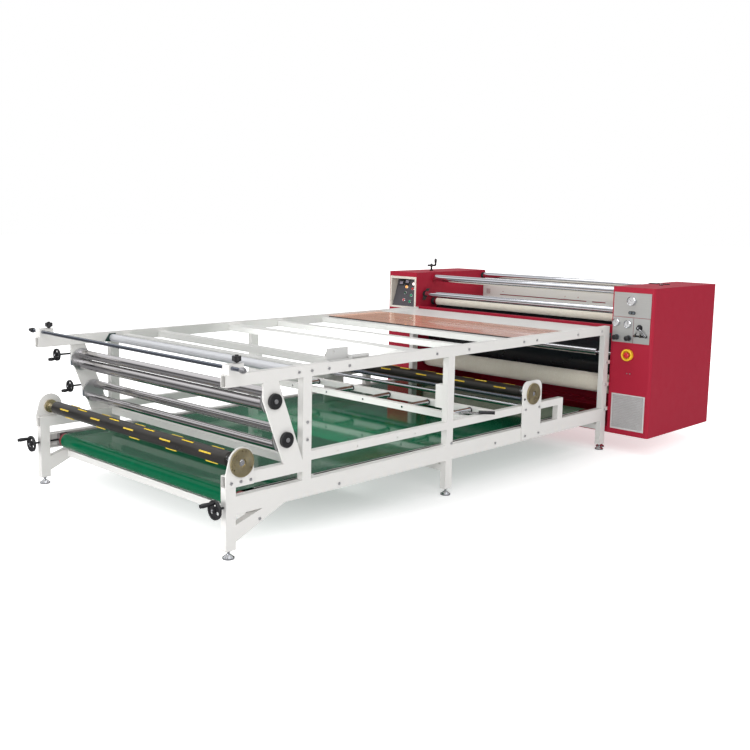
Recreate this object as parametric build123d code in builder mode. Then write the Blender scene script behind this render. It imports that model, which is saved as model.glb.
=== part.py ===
from build123d import *
from math import asin, atan2, cos, hypot, pi, radians, sin
import os

# Rotary heat press with its roll-to-roll work table. Millimetres, +Z up, floor at Z 0.
# +Y runs from the winding end of the table to the press cabinets, X 0 is the centre line.

# ---- Driving dimensions -------------------------------------------------------------------
FRONT = -2140.0  # front face of the table's front legs
TABLE_LENGTH = 3450.0
FRAME_OUTER = 925.0
FRAME_INNER = 885.0
TUBE = 60.0
WALL = 3.0
RAIL_Z = (840.0, 900.0)
LOW_RAIL_Z = (217.0, 307.0)
MID_RAIL_Z = (405.0, 451.0)
ARM_Z = (354.0, 414.0)
LEG_BOTTOM = 42.0
CHANNEL_WALL = 5.0
POST_A, POST_B, POST_C, POST_D = 0.0, 490.0, 1640.0, 3390.0

PRESS_FRONT = FRONT + 3470.0
PRESS_REAR = FRONT + 4420.0
CABINET_INNER = 930.0
CABINET_OUTER = 1250.0
CABINET_Z = (125.0, 1185.0)
CABINET_CORNER = 20.0
SHEET = 3.0
SIDE_PLATE = 15.0

CLEAR = 0.05  # radial clearance of every shaft in its hole
BELT = 3.0
BELT_HALF = 840.0
BELT_ROLL = 42.0
BELT_ROLL_HALF = 865.0
BELT_GAP = 0.3
BELT_Z = 258.0
BELT_FRONT_Y = FRONT + 150.0
BELT_REAR_Y = FRONT + 3300.0
SPINDLE_X = 905.0
SPINDLE = 6.0
BELT_JOURNAL = 10.0

FELT = 8.0
FELT_GAP = 0.3
DRUM = (FRONT + 3860.0, 690.0)
DRUM_RADIUS = 250.0
DRUM_JOURNAL = 45.0
PRESS_ROLL_HALF = 905.0
PRESS_JOURNAL_END = 942.0
FELT_JOURNAL = 15.0
GUIDE_JOURNAL = 10.0
FELT_ROLLS = {
    "upper_felt_roller": (FRONT + 3690.0, 938.0, 22.0),
    "rear_top_felt_roller": (FRONT + 4250.0, 905.0, 40.0),
    "rear_bottom_felt_roller": (FRONT + 4260.0, 300.0, 40.0),
    "lower_felt_roller": (FRONT + 3600.0, 455.0, 60.0),
}
GUIDE_ROLLS = {
    "upper_guide_roller": (FRONT + 4380.0, 1139.0, 25.0),
    "feed_guide_roller": (FRONT + 3694.0, 1135.0, 28.0),
    "outfeed_guide_roller": (FRONT + 3575.0, 1003.0, 25.0),
    "inner_guide_roller": (FRONT + 3540.0, 690.0, 25.0),
}

SHAFT_RADIUS = 37.5
SHAFT_HALF = 845.0
SHAFT_JOURNAL = 15.0
SHAFT_DISC = 70.0
SHAFT_DISC_X = (933.0, 943.0)
FRONT_SHAFT = (FRONT + 88.0, 470.0)
REAR_SHAFT = (FRONT + 2510.0, 520.0)
PLATE_X = (FRAME_OUTER, FRAME_OUTER + 7.0)
KEY = (95.0, 10.0, 6.0)  # length, width, depth in the shaft
KEY_PROUD = 1.5
DISC_RECESS = 21.0
DISC_HOLE = 4.0
DISC_HOLE_CIRCLE = SHAFT_DISC - 12
KEY_PITCH = 345.0
KEY_ROWS = ((20, 0.0), (70, 172.5), (120, 35.0), (200, 0.0), (250, 172.5), (300, 35.0))

UPPER_PIVOT = (FRONT + 296.0, 742.0)
LOWER_PIVOT = (FRONT + 374.0, 538.0)
UPPER_TILT = 6.0
LOWER_TILT = 28.0
UPPER_BARS = ((34.0, 26.0), (-27.0, 32.0))  # distance from the pivot, radius
LOWER_BARS = ((42.0, 24.0), (-42.0, 24.0))
PAIR_DISC = 68.0
PAIR_JOURNAL = 12.0
WORM_X = -945.0
WORM_RISE = 36.0
WORM_SHAFT = 6.0

ROD = (FRONT + 30.0, 932.0)
ROD_RADIUS = 10.0
KNOB_Y = FRONT + 80.0
FRONT_ROLLER = (FRONT + 500.0, 863.0)
FRONT_ROLLER_RADIUS = 24.0
REAR_ROLLER = (FRONT + 2420.0, 492.0)
REAR_ROLLER_RADIUS = 15.0
TOP_BAR_Z = (842.0, 880.0)
LADDER_Z = (405.0, 445.0)
LADDER_FRONT = (1880.0, 1920.0)
LADDER_REAR = (2140.0, 2180.0)
SLIDE_BARS_X = (-710.0, -355.0, 0.0, 355.0, 710.0)
SLIDE_BAR = 16.0
SLIDE_BAR_Z = 428.0
SLIDE_STUD = 4.0
SLIDE_NUT = (7.0, 5.0)  # radius, height
LEVER_PIVOT = (825.0, FRONT + 1902.0)
LEVER_Z = 459.0  # middle of the lever, above the middle rail

BOLT_SHANK = 4.0
BOLT_HEAD = (7.5, 5.0)
RAIL_BOLTS = [(y, 869) for y in (460, 548, 667, 817, 1531, 1829, 2395, 2540, 3031, 3345)]
POST_BOLTS = [(520, 607), (520, 516), (1686, 316), (752, 243), (2124, 250), (207, 167)]
FRONT_PLATE_BOLTS = [(25, 378), (84, 378), (144, 378)]
REAR_PLATE_BOLTS = [(2434, 250), (2587, 250), (2434, 424), (2587, 424)]
SPARE_HOLES = [(741, 424), (888, 424), (1207, 424), (1356, 424)]
LINK_Z = (300.0, 480.0, 640.0)
LINK_HALF = 13.0
LINK_THICK = 4.0
LINK_FLANGE = 18.0
LINK_FROM = 3410.0
LINK_BOLT = 3424.0


# ---- Helpers: each adds to, or cuts from, the part being built -------------------------------
def block(x, y, z, mode=Mode.ADD):
    """A box between two corners."""
    with Locations(((x[0] + x[1]) / 2, (y[0] + y[1]) / 2, (z[0] + z[1]) / 2)):
        Box(x[1] - x[0], y[1] - y[0], z[1] - z[0], mode=mode)


def bar_x(x, yz, radius, mode=Mode.ADD):
    """A round bar along X."""
    with Locations(Location(((x[0] + x[1]) / 2, yz[0], yz[1]), (0, 90, 0))):
        Cylinder(radius, x[1] - x[0], mode=mode)


def bar_y(y, x, z, radius, mode=Mode.ADD):
    """A round bar along Y."""
    with Locations(Location((x, (y[0] + y[1]) / 2, z), (90, 0, 0))):
        Cylinder(radius, y[1] - y[0], mode=mode)


def bar_z(z, x, y, radius, mode=Mode.ADD):
    """A round bar along Z."""
    with Locations((x, y, (z[0] + z[1]) / 2)):
        Cylinder(radius, z[1] - z[0], mode=mode)


def profile_x(x, points, mode=Mode.ADD):
    """A straight-sided outline of (y, z) points, thick in X."""
    with BuildSketch(Plane.YZ.offset(x[0])) as outline:
        with BuildLine():
            Polyline(*points, close=True)
        make_face()
    extrude(outline.sketch, amount=x[1] - x[0], mode=mode)


def side(hand, low, high):
    """The X range of something on the right (+1) or the left (-1)."""
    return (low, high) if hand > 0 else (-high, -low)


def at(y0, y1):
    """A Y range measured from the front of the table."""
    return (FRONT + y0, FRONT + y1)


def tube(x, y, z, axis):
    """A rectangular tube with open ends along the named axis."""
    spans = {"X": x, "Y": y, "Z": z}
    bore = {}
    for name, span in spans.items():
        bore[name] = span if name == axis else (span[0] + WALL, span[1] - WALL)
    block(x, y, z)
    block(bore["X"], bore["Y"], bore["Z"], Mode.SUBTRACT)


def leaned(pivot, distance, tilt):
    """A point at a distance from a pivot, tilted from straight up towards +Y."""
    return (pivot[0] + distance * sin(radians(tilt)), pivot[1] + distance * cos(radians(tilt)))


def tangent_runs(circles):
    """The straight runs of a path round circles (y, z, radius, turn).

    turn is +1 where the path turns counter-clockwise and -1 where it turns clockwise."""
    runs = []
    for first, second in zip(circles, circles[1:] + circles[:1]):
        dy = second[0] - first[0]
        dz = second[1] - first[1]
        reach = second[3] * second[2] - first[3] * first[2]
        heading = atan2(dz, dy) - asin(reach / hypot(dy, dz))
        normal = (-sin(heading), cos(heading))
        ends = []
        for y, z, radius, turn in (first, second):
            ends.append((y - turn * radius * normal[0], z - turn * radius * normal[1]))
        runs.append(ends)
    return runs


def draw_path(circles):
    """Draws a closed path of tangent runs and arcs."""
    runs = tangent_runs(circles)
    for index, (y, z, radius, turn) in enumerate(circles):
        arrive = runs[index - 1][1]
        leave = runs[index][0]
        start = atan2(arrive[1] - z, arrive[0] - y)
        sweep = (atan2(leave[1] - z, leave[0] - y) - start) % (2 * pi)
        if turn < 0:
            sweep -= 2 * pi
        middle = start + sweep / 2
        ThreePointArc(arrive, (y + radius * cos(middle), z + radius * sin(middle)), leave)
        Line(*runs[index])


def band(circles, gap, thickness, half_width):
    """An endless band round rollers it clears by a gap; turn +1 marks a roller it touches outside."""
    with BuildSketch(Plane.YZ) as ring:
        for lift, mode in ((gap + thickness, Mode.ADD), (gap, Mode.SUBTRACT)):
            path = []
            for y, z, radius, turn in circles:
                step = lift if turn < 0 else 2 * gap + thickness - lift
                path.append((y, z, radius + step, turn))
            with BuildLine():
                draw_path(path)
            make_face(mode=mode)
    extrude(ring.sketch, amount=half_width, both=True)


def save(part, label):
    """Names a finished piece and writes its STEP file."""
    part.label = label
    export_step(part, f"parts/{label}.step")


os.makedirs("parts", exist_ok=True)

# ---- Side frames: welded rectangular tube, one per side ---------------------------------------
BRACE = [(60, 81), (60, 166), (229, 217), (373, 217)]


def side_frame(hand):
    """One welded side frame: rails, posts, arm, brace and the box on its middle post."""
    x = side(hand, FRAME_INNER, FRAME_OUTER)
    bore_x = (x[0] + WALL, x[1] - WALL)
    posts = [
        (POST_A, LEG_BOTTOM, ARM_Z[0]),
        (POST_B, LOW_RAIL_Z[1], RAIL_Z[0]),
        (POST_C, LEG_BOTTOM, RAIL_Z[0]),
        (POST_D, LEG_BOTTOM, RAIL_Z[0]),
        (2821.0, LOW_RAIL_Z[1], MID_RAIL_Z[0]),
    ]
    rails = [(0.0, TABLE_LENGTH, RAIL_Z), (0.0, POST_B, ARM_Z), (POST_B + TUBE, 2881.0, MID_RAIL_Z)]
    with BuildPart() as frame:
        for y, z0, z1 in posts:
            block(x, at(y, y + TUBE), (z0, z1))
        for y0, y1, z in rails:
            block(x, at(y0, y1), z)
        block(x, at(TUBE, POST_D), LOW_RAIL_Z)
        profile_x(x, [(FRONT + y, z) for y, z in BRACE])
        block(side(hand, FRAME_INNER - 55, FRAME_INNER), at(1642, 1690), (528, 666))
        # Bores: the top rail and the arm are open at the front
        for y, z0, z1 in posts:
            block(bore_x, at(y + WALL, y + TUBE - WALL), (z0 + WALL, z1 - WALL), Mode.SUBTRACT)
        for y0, y1, z in rails:
            start = y0 + WALL if y0 else -WALL
            block(bore_x, at(start, y1 - WALL), (z[0] + WALL, z[1] - WALL), Mode.SUBTRACT)
        # The low rail is a channel open to the inside, between the posts
        channel_x = side(hand, FRAME_INNER, FRAME_OUTER - CHANNEL_WALL)
        channel_z = (LOW_RAIL_Z[0] + CHANNEL_WALL, LOW_RAIL_Z[1] - CHANNEL_WALL)
        for y0, y1 in ((TUBE, POST_C), (POST_C + TUBE, POST_D)):
            block(channel_x, at(y0, y1), channel_z, Mode.SUBTRACT)
        # Holes for the take-up spindle, the feet, the bolts and spare fixings
        bar_y(at(0, TUBE), hand * SPINDLE_X, BELT_Z, SPINDLE + CLEAR, Mode.SUBTRACT)
        for y in (POST_A, POST_C, POST_D):
            foot_z = (LEG_BOTTOM, LEG_BOTTOM + WALL)
            bar_z(foot_z, hand * SPINDLE_X, FRONT + y + TUBE / 2, SPINDLE + CLEAR, Mode.SUBTRACT)
        drilled_x = side(hand, FRAME_OUTER - 20, FRAME_OUTER)
        sites = RAIL_BOLTS + POST_BOLTS + FRONT_PLATE_BOLTS + REAR_PLATE_BOLTS + SPARE_HOLES
        sites = sites + [(LINK_BOLT, z) for z in LINK_Z]
        for y, z in sites:
            bar_x(drilled_x, (FRONT + y, z), BOLT_SHANK + CLEAR, Mode.SUBTRACT)
    return frame.part


save(side_frame(1), "side_frame_right")
save(side_frame(-1), "side_frame_left")

# ---- Cross members ------------------------------------------------------------------------------
SPAN = (-FRAME_INNER, FRAME_INNER)
TOP_BARS = [(572, 632), (845, 905), (1430, 1540), (1880, 1940), (2330, 2400), (2965, 3025)]
PANEL_Z = (TOP_BAR_Z[1], TOP_BAR_Z[1] + 8)

with BuildPart() as top_cross_bars:
    for y in TOP_BARS:
        tube(SPAN, at(*y), TOP_BAR_Z, "X")
    block(SPAN, at(2996, 3440), PANEL_Z)
    block(SPAN, at(3434, 3440), TOP_BAR_Z)
save(top_cross_bars.part, "top_cross_bars")

with BuildPart() as slide_panel:
    block((SPAN[0] + 1, SPAN[1] - 1), at(2400, 2992), PANEL_Z)
save(slide_panel.part, "slide_panel")

BED_Z = (296.0, 299.0)
LOW_TUBES = [
    ((177, 237), (147, 187)),
    ((490, 550), (373, 413)),
    ((1640, 1700), (150, 190)),
    ((3390, 3450), (150, 190)),
    (LADDER_FRONT, LADDER_Z),
    (LADDER_REAR, LADDER_Z),
]
BED_BEAMS = [(600, 640), (1720, 1760), (2700, 2740)]
LEVER_PIN = 5.0
TIE_BAR = (2420.0, 444.0)
TIE_RADIUS = 14.0

with BuildPart() as lower_cross_beams:
    for y, z in LOW_TUBES:
        tube(SPAN, at(*y), z, "X")
    for y in BED_BEAMS:
        block((-FRAME_OUTER + CHANNEL_WALL, FRAME_OUTER - CHANNEL_WALL), at(*y), (256, BED_Z[0]))
    block((-BELT_HALF, BELT_HALF), at(240, 3230), BED_Z)
    bar_x(SPAN, (FRONT + TIE_BAR[0], TIE_BAR[1]), TIE_RADIUS)
    for x in SLIDE_BARS_X:
        for beam in (LADDER_FRONT, LADDER_REAR):
            bar_y(at(*beam), x, SLIDE_BAR_Z, SLIDE_STUD + CLEAR, Mode.SUBTRACT)
    pin_z = (LADDER_Z[1] - WALL, LADDER_Z[1])
    bar_z(pin_z, *LEVER_PIVOT, LEVER_PIN + CLEAR, Mode.SUBTRACT)
save(lower_cross_beams.part, "lower_cross_beams")

with BuildPart() as slide_bars:
    for x in SLIDE_BARS_X:
        bar_y(at(LADDER_FRONT[1], LADDER_REAR[0]), x, SLIDE_BAR_Z, SLIDE_BAR)
        bar_y(at(LADDER_FRONT[0], LADDER_REAR[1]), x, SLIDE_BAR_Z, SLIDE_STUD)
        bar_y(at(LADDER_FRONT[0] - SLIDE_NUT[1], LADDER_FRONT[0]), x, SLIDE_BAR_Z, SLIDE_NUT[0])
        bar_y(at(LADDER_REAR[1], LADDER_REAR[1] + SLIDE_NUT[1]), x, SLIDE_BAR_Z, SLIDE_NUT[0])
save(slide_bars.part, "slide_bars")

with BuildPart() as clamp_lever:
    bar_z((LADDER_Z[1] + 0.5, LEVER_Z + 5), *LEVER_PIVOT, 14)
    bar_z((LADDER_Z[0] + 24, LEVER_Z + 5), *LEVER_PIVOT, LEVER_PIN)
    with Locations(Location((*LEVER_PIVOT, LEVER_Z), (0, 0, 39))):
        with Locations((60, 0, 0)):
            Box(120, 18, 8)
        with Locations(Location((155, 0, 5), (0, 90, 0))):
            Cylinder(11, 100)
save(clamp_lever.part, "clamp_lever")

# ---- Plates, bearings and rollers of the winding shafts ---------------------------------------------
INCLINED_X = (913.0, 925.0)
INCLINED = [(230, 840), (230, 751), (364, 414), (490, 414), (325, 840)]
BEARING_RADIUS = 40.0
FRONT_PLATE_ROUND = 77.0
FRONT_PLATE_BASE = (FRONT + 80.0, 389.0)
FRONT_PLATE_SIZE = (170.0, 70.0)
BEARING_X = (913.0, 925.0)
ROLLER_JOURNAL = 8.0
FRONT_JOURNAL = 6.0

with BuildPart() as bearing_plates:
    for hand in (1, -1):
        # Inclined plates that carry the two pairs of tension bars
        profile_x(side(hand, *INCLINED_X), [(FRONT + y, z) for y, z in INCLINED])
        for pivot in (UPPER_PIVOT, LOWER_PIVOT):
            bar_x(side(hand, *INCLINED_X), pivot, PAIR_JOURNAL + CLEAR, Mode.SUBTRACT)
        # Round-topped plate of the front shaft
        plate_x = side(hand, *PLATE_X)
        with BuildSketch(Plane.YZ.offset(plate_x[0])):
            with Locations(FRONT_SHAFT):
                Circle(FRONT_PLATE_ROUND)
            with Locations(FRONT_PLATE_BASE):
                Rectangle(*FRONT_PLATE_SIZE)
            make_hull()
        extrude(amount=PLATE_X[1] - PLATE_X[0])
        # Tall plate of the rear shaft
        with BuildSketch(Plane.YZ.offset(plate_x[0])):
            with BuildLine():
                low_left = (FRONT + 2400, 222)
                low_right = (FRONT + 2610, 222)
                corner = 52
                top = 608
                Line(low_left, low_right)
                Line(low_right, (low_right[0], top - corner))
                right_top = (low_right[0] - corner, top)
                left_top = (low_left[0] + corner, top)
                RadiusArc((low_right[0], top - corner), right_top, -corner)
                Line(right_top, left_top)
                RadiusArc(left_top, (low_left[0], top - corner), -corner)
                Line((low_left[0], top - corner), low_left)
            make_face()
        extrude(amount=PLATE_X[1] - PLATE_X[0])
        for shaft in (FRONT_SHAFT, REAR_SHAFT):
            bar_x(plate_x, shaft, SHAFT_JOURNAL + 3, Mode.SUBTRACT)
        bar_x(plate_x, REAR_ROLLER, ROLLER_JOURNAL + CLEAR, Mode.SUBTRACT)
        for y, z in FRONT_PLATE_BOLTS + REAR_PLATE_BOLTS:
            bar_x(plate_x, (FRONT + y, z), BOLT_SHANK + CLEAR, Mode.SUBTRACT)
        # Angle plates that link the table's last post to the press
        for z in LINK_Z:
            link_z = (z - LINK_HALF, z + LINK_HALF)
            flange_y = (PRESS_FRONT - LINK_THICK, PRESS_FRONT)
            block(side(hand, FRAME_OUTER, FRAME_OUTER + LINK_THICK), (FRONT + LINK_FROM, PRESS_FRONT), link_z)
            block(side(hand, FRAME_OUTER, FRAME_OUTER + LINK_FLANGE), flange_y, link_z)
            link_x = side(hand, FRAME_OUTER, FRAME_OUTER + LINK_THICK)
            bar_x(link_x, (FRONT + LINK_BOLT, z), BOLT_SHANK + CLEAR, Mode.SUBTRACT)
save(bearing_plates.part, "bearing_plates")

QUADRANT = ((-22.0, -48.0), (-4.0, 0.0), (30.0, 46.0))  # (y, z) from the journal
QUADRANT_HALF = 18.0
QUADRANT_X = (909.0, 917.0)
HOUSING = 26.0  # radius of a bearing unit's neck
BEARING_SCREW = 4.0


def roll_journal(name):
    """Journal radius of a roller of the press."""
    return FELT_JOURNAL if name in FELT_ROLLS else GUIDE_JOURNAL


with BuildPart() as shaft_bearings:
    for hand in (1, -1):
        for shaft in (FRONT_SHAFT, REAR_SHAFT):
            bar_x(side(hand, *BEARING_X), shaft, BEARING_RADIUS)
            with Locations(Location((hand * (BEARING_X[0] - 3), *shaft), (0, 90, 0))):
                Cylinder(HOUSING, 6)
            for turn in (90, 210, 330):
                spot = leaned(shaft, BEARING_RADIUS - 8, turn)
                bar_x(side(hand, BEARING_X[0] - 4, BEARING_X[0]), spot, BEARING_SCREW)
            whole_x = side(hand, BEARING_X[0] - 6, BEARING_X[1])
            bar_x(whole_x, shaft, SHAFT_JOURNAL + CLEAR, Mode.SUBTRACT)
        # Bracket of the small roller at the front of the table top
        bracket = [(450, 842), (450, 850), (480, 892), (524, 892), (524, 842)]
        bracket_x = side(hand, FRAME_INNER - 6, FRAME_INNER)
        profile_x(bracket_x, [(FRONT + y, z) for y, z in bracket])
        bar_x(bracket_x, FRONT_ROLLER, FRONT_JOURNAL + CLEAR, Mode.SUBTRACT)
        # Block of the belt's rear roller, inside the low rail
        rear_x = side(hand, FRAME_INNER + 2, FRAME_OUTER - CHANNEL_WALL)
        block(rear_x, (BELT_REAR_Y - 25, BELT_REAR_Y + 25), (222, 300))
        bar_x(rear_x, (BELT_REAR_Y, BELT_Z), BELT_JOURNAL + CLEAR, Mode.SUBTRACT)
        # Flange bearings of the press, on the inner faces of its side plates
        for name, (y, z, radius) in (FELT_ROLLS | GUIDE_ROLLS).items():
            flange_x = side(hand, CABINET_INNER - 10, CABINET_INNER)
            bar_x(flange_x, (y, z), roll_journal(name) + 16)
            bar_x(flange_x, (y, z), roll_journal(name) + CLEAR, Mode.SUBTRACT)
        # Curved adjusting plate behind the journal of the outfeed roller
        journal = GUIDE_ROLLS["outfeed_guide_roller"][:2]
        edges = []
        for shift in (-QUADRANT_HALF, QUADRANT_HALF):
            edges.append([(journal[0] + y + shift, journal[1] + z) for y, z in QUADRANT])
        quadrant_x = side(hand, *QUADRANT_X)
        with BuildSketch(Plane.YZ.offset(quadrant_x[0])) as quadrant:
            with BuildLine():
                for edge in edges:
                    ThreePointArc(*edge)
                Line(edges[0][0], edges[1][0])
                Line(edges[0][2], edges[1][2])
            make_face()
        extrude(quadrant.sketch, amount=QUADRANT_X[1] - QUADRANT_X[0])
        bar_x(quadrant_x, journal, GUIDE_JOURNAL + CLEAR, Mode.SUBTRACT)
        bar_x(side(hand, CABINET_INNER - 15, CABINET_INNER), DRUM, 95)
        bar_x(side(hand, CABINET_INNER - 15, CABINET_INNER), DRUM, DRUM_JOURNAL + CLEAR, Mode.SUBTRACT)
save(shaft_bearings.part, "shaft_bearings")


def winding_shaft(shaft):
    """An expanding shaft with pockets for its keys, journals and a hand disc at each end."""
    with BuildPart() as winding:
        bar_x((-SHAFT_HALF, SHAFT_HALF), shaft, SHAFT_RADIUS)
        bar_x((-SHAFT_DISC_X[0], SHAFT_DISC_X[0]), shaft, SHAFT_JOURNAL)
        for hand in (1, -1):
            bar_x(side(hand, SHAFT_HALF, SHAFT_HALF + 14), shaft, 26)
            disc_x = side(hand, *SHAFT_DISC_X)
            recess_x = side(hand, SHAFT_DISC_X[0] + 3, SHAFT_DISC_X[1])
            groove_x = side(hand, SHAFT_DISC_X[1] - 1.5, SHAFT_DISC_X[1])
            bar_x(disc_x, shaft, SHAFT_DISC)
            bar_x(groove_x, shaft, SHAFT_DISC - 4, Mode.SUBTRACT)
            bar_x(groove_x, shaft, SHAFT_DISC - 6)
            bar_x(recess_x, shaft, DISC_RECESS, Mode.SUBTRACT)
            for turn in (0, 120, 240):
                bar_x(disc_x, leaned(shaft, DISC_HOLE_CIRCLE, turn), DISC_HOLE, Mode.SUBTRACT)
            # The journal's end, with the air valve's bore
            bar_x(side(hand, SHAFT_DISC_X[0], SHAFT_DISC_X[1] - 2), shaft, SHAFT_JOURNAL - 2)
            bar_x(side(hand, SHAFT_DISC_X[0] + 2, SHAFT_DISC_X[1] - 2), shaft, 4, Mode.SUBTRACT)
        place_keys(shaft, Mode.SUBTRACT)
    return winding.part


def place_keys(shaft, mode):
    """The key positions round a shaft: adds keys, or cuts their pockets."""
    for angle, shift in KEY_ROWS:
        first = -2 if shift < KEY_PITCH / 3 else -2.5 + 0.5
        for step in range(5):
            x = (first + step) * KEY_PITCH + shift
            if abs(x) > SHAFT_HALF - KEY[0]:
                continue
            y = shaft[0] - cos(radians(angle)) * (SHAFT_RADIUS - KEY[2] / 2 + KEY_PROUD / 2)
            z = shaft[1] + sin(radians(angle)) * (SHAFT_RADIUS - KEY[2] / 2 + KEY_PROUD / 2)
            with Locations(Location((x, y, z), (angle - 90, 0, 0))):
                Box(KEY[0], KEY[1], KEY[2] + KEY_PROUD, mode=mode)


def shaft_keys(shaft):
    """The keys that grip the core of a roll."""
    with BuildPart() as keys:
        place_keys(shaft, Mode.ADD)
    return keys.part


save(winding_shaft(FRONT_SHAFT), "front_air_shaft")
save(shaft_keys(FRONT_SHAFT), "front_shaft_keys")
save(winding_shaft(REAR_SHAFT), "rear_air_shaft")
save(shaft_keys(REAR_SHAFT), "rear_shaft_keys")


def plain_roller(axis, radius, half, journal, journal_half):
    """A roller with a journal at each end."""
    with BuildPart() as roller:
        bar_x((-half, half), axis, radius)
        bar_x((-journal_half, journal_half), axis, journal)
    return roller.part


def felt_roller(name):
    """A roller that carries the felt."""
    y, z, radius = FELT_ROLLS[name]
    return plain_roller((y, z), radius, PRESS_ROLL_HALF, FELT_JOURNAL, PRESS_JOURNAL_END)


save(plain_roller(FRONT_ROLLER, FRONT_ROLLER_RADIUS, 876, FRONT_JOURNAL, FRAME_INNER), "top_front_roller")
save(plain_roller(REAR_ROLLER, REAR_ROLLER_RADIUS, 905, ROLLER_JOURNAL, 934), "rear_guide_roller")
BELT_FRONT = (BELT_FRONT_Y, BELT_Z)
BELT_REAR = (BELT_REAR_Y, BELT_Z)
save(plain_roller(BELT_FRONT, BELT_ROLL, BELT_ROLL_HALF, BELT_JOURNAL, 896), "belt_front_roller")
save(plain_roller(BELT_REAR, BELT_ROLL, BELT_ROLL_HALF, BELT_JOURNAL, 910), "belt_rear_roller")

with BuildPart() as conveyor_belt:
    ends = [(BELT_REAR_Y, BELT_Z, BELT_ROLL, -1), (BELT_FRONT_Y, BELT_Z, BELT_ROLL, -1)]
    band(ends, BELT_GAP, BELT, BELT_HALF)
save(conveyor_belt.part, "conveyor_belt")

# ---- Belt take-up -----------------------------------------------------------------------------------
with BuildPart() as takeup_blocks:
    for hand in (1, -1):
        block(side(hand, 887, 919), (BELT_FRONT_Y - 25, BELT_FRONT_Y + 25), (224, 300))
        bar_x(side(hand, 869, 887), BELT_FRONT, 25)
        bar_x(side(hand, 869, 897), BELT_FRONT, BELT_JOURNAL + CLEAR, Mode.SUBTRACT)
        block_y = (BELT_FRONT_Y - 25, BELT_FRONT_Y + 25)
        bar_y(block_y, hand * SPINDLE_X, BELT_Z, SPINDLE + CLEAR, Mode.SUBTRACT)
save(takeup_blocks.part, "takeup_blocks")


def handwheel(plane, radius, grip, shaft):
    """A dished handwheel standing on a plane: its grip at (x, y, length), its shaft (radius, length)."""
    thick = 12
    with BuildPart(plane) as wheel:
        with Locations((0, 0, thick / 2)):
            Cylinder(radius, thick)
            Cylinder(radius - 8, thick, mode=Mode.SUBTRACT)
        with Locations((0, 0, 5)):
            Cylinder(radius - 6, 4)
            with PolarLocations(radius * 0.55, 3, start_angle=90):
                Cylinder(radius * 0.2, 4, mode=Mode.SUBTRACT)
        with Locations((0, 0, 6)):
            Cylinder(radius * 0.27, 22)
        with Locations((0, 0, -shaft[1] / 2)):
            Cylinder(shaft[0], shaft[1])
        with Locations((grip[0], grip[1], 2)):
            Cylinder(8, 10, align=(Align.CENTER, Align.CENTER, Align.MIN))
            Cylinder(4, grip[2] - 10, align=(Align.CENTER, Align.CENTER, Align.MIN))
        with Locations((grip[0], grip[1], 16)):
            Cone(7, 10, grip[2] - 20, align=(Align.CENTER, Align.CENTER, Align.MIN))
    return wheel.part


def facing_front(x, y, z):
    """A plane whose normal points out of the front, its own Y axis up."""
    return Plane(origin=(x, y, z), x_dir=(1, 0, 0), z_dir=(0, -1, 0))


for hand, label in ((-1, "left_takeup_handwheel"), (1, "right_takeup_handwheel")):
    plane = facing_front(hand * SPINDLE_X, FRONT - 46, BELT_Z)
    save(handwheel(plane, 48, (0, 34, 94), (SPINDLE, 261)), label)

# ---- Tension bars and their worm drives -----------------------------------------------------------
WHEEL_RADIUS = 26.0
WORM_RADIUS = 9.0
WORM_HALF = 22.0


def tension_bars(pivot, tilt, pair):
    """Two bars between end discs, turning on journals; a worm wheel sits on the left journal."""
    with BuildPart() as bars:
        for distance, radius in pair:
            bar_x((-899, 899), leaned(pivot, distance, tilt), radius)
        for hand in (1, -1):
            bar_x(side(hand, 899, 909), pivot, PAIR_DISC)
        bar_x((909, 942), pivot, PAIR_JOURNAL)
        bar_x((927, 942), pivot, 40)
        bar_x((-955, -909), pivot, PAIR_JOURNAL)
        bar_x((-953, -937), pivot, WHEEL_RADIUS)
    return bars.part


save(tension_bars(UPPER_PIVOT, UPPER_TILT, UPPER_BARS), "upper_tension_bars")
save(tension_bars(LOWER_PIVOT, LOWER_TILT, LOWER_BARS), "lower_tension_bars")

with BuildPart() as worm_gearboxes:
    for y, z in (UPPER_PIVOT, LOWER_PIVOT):
        block((-965, -925), (y - 45, y + 45), (z - 40, z + 56))
        bar_x((-957, -925), (y, z), WHEEL_RADIUS + 3, Mode.SUBTRACT)
        worm_y = (y - WORM_HALF - 3, y + WORM_HALF + 3)
        bar_y(worm_y, WORM_X, z + WORM_RISE, WORM_RADIUS + 2, Mode.SUBTRACT)
        bar_y((y - 45, y + 40), WORM_X, z + WORM_RISE, WORM_SHAFT + CLEAR, Mode.SUBTRACT)
save(worm_gearboxes.part, "worm_gearboxes")


def worm_handwheel(pivot, reach):
    """A handwheel on the shaft of a worm, reaching out to the front."""
    wheel_y = pivot[0] - reach
    spot = facing_front(WORM_X, wheel_y, pivot[1] + WORM_RISE)
    wheel = handwheel(spot, 37.5, (0, -25, 64), (WORM_SHAFT, reach + 38))
    with BuildPart() as driver:
        add(wheel)
        worm_y = (pivot[0] - WORM_HALF, pivot[0] + WORM_HALF)
        bar_y(worm_y, WORM_X, pivot[1] + WORM_RISE, WORM_RADIUS)
    return driver.part


save(worm_handwheel(UPPER_PIVOT, 140), "upper_handwheel")
save(worm_handwheel(LOWER_PIVOT, 135), "lower_handwheel")

# ---- Guide rod across the front of the table -----------------------------------------------------------
BLOCK_X = (885.0, 935.0)
BLOCK_Z = (900.0, 950.0)
KNOB_STEM = 5.0

with BuildPart() as rod_blocks:
    for hand in (1, -1):
        block(side(hand, *BLOCK_X), at(10, 100), BLOCK_Z)
        bar_x(side(hand, *BLOCK_X), ROD, ROD_RADIUS + CLEAR, Mode.SUBTRACT)
        bar_z((905, BLOCK_Z[1]), hand * SPINDLE_X, KNOB_Y, KNOB_STEM + CLEAR, Mode.SUBTRACT)
save(rod_blocks.part, "rod_blocks")

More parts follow.
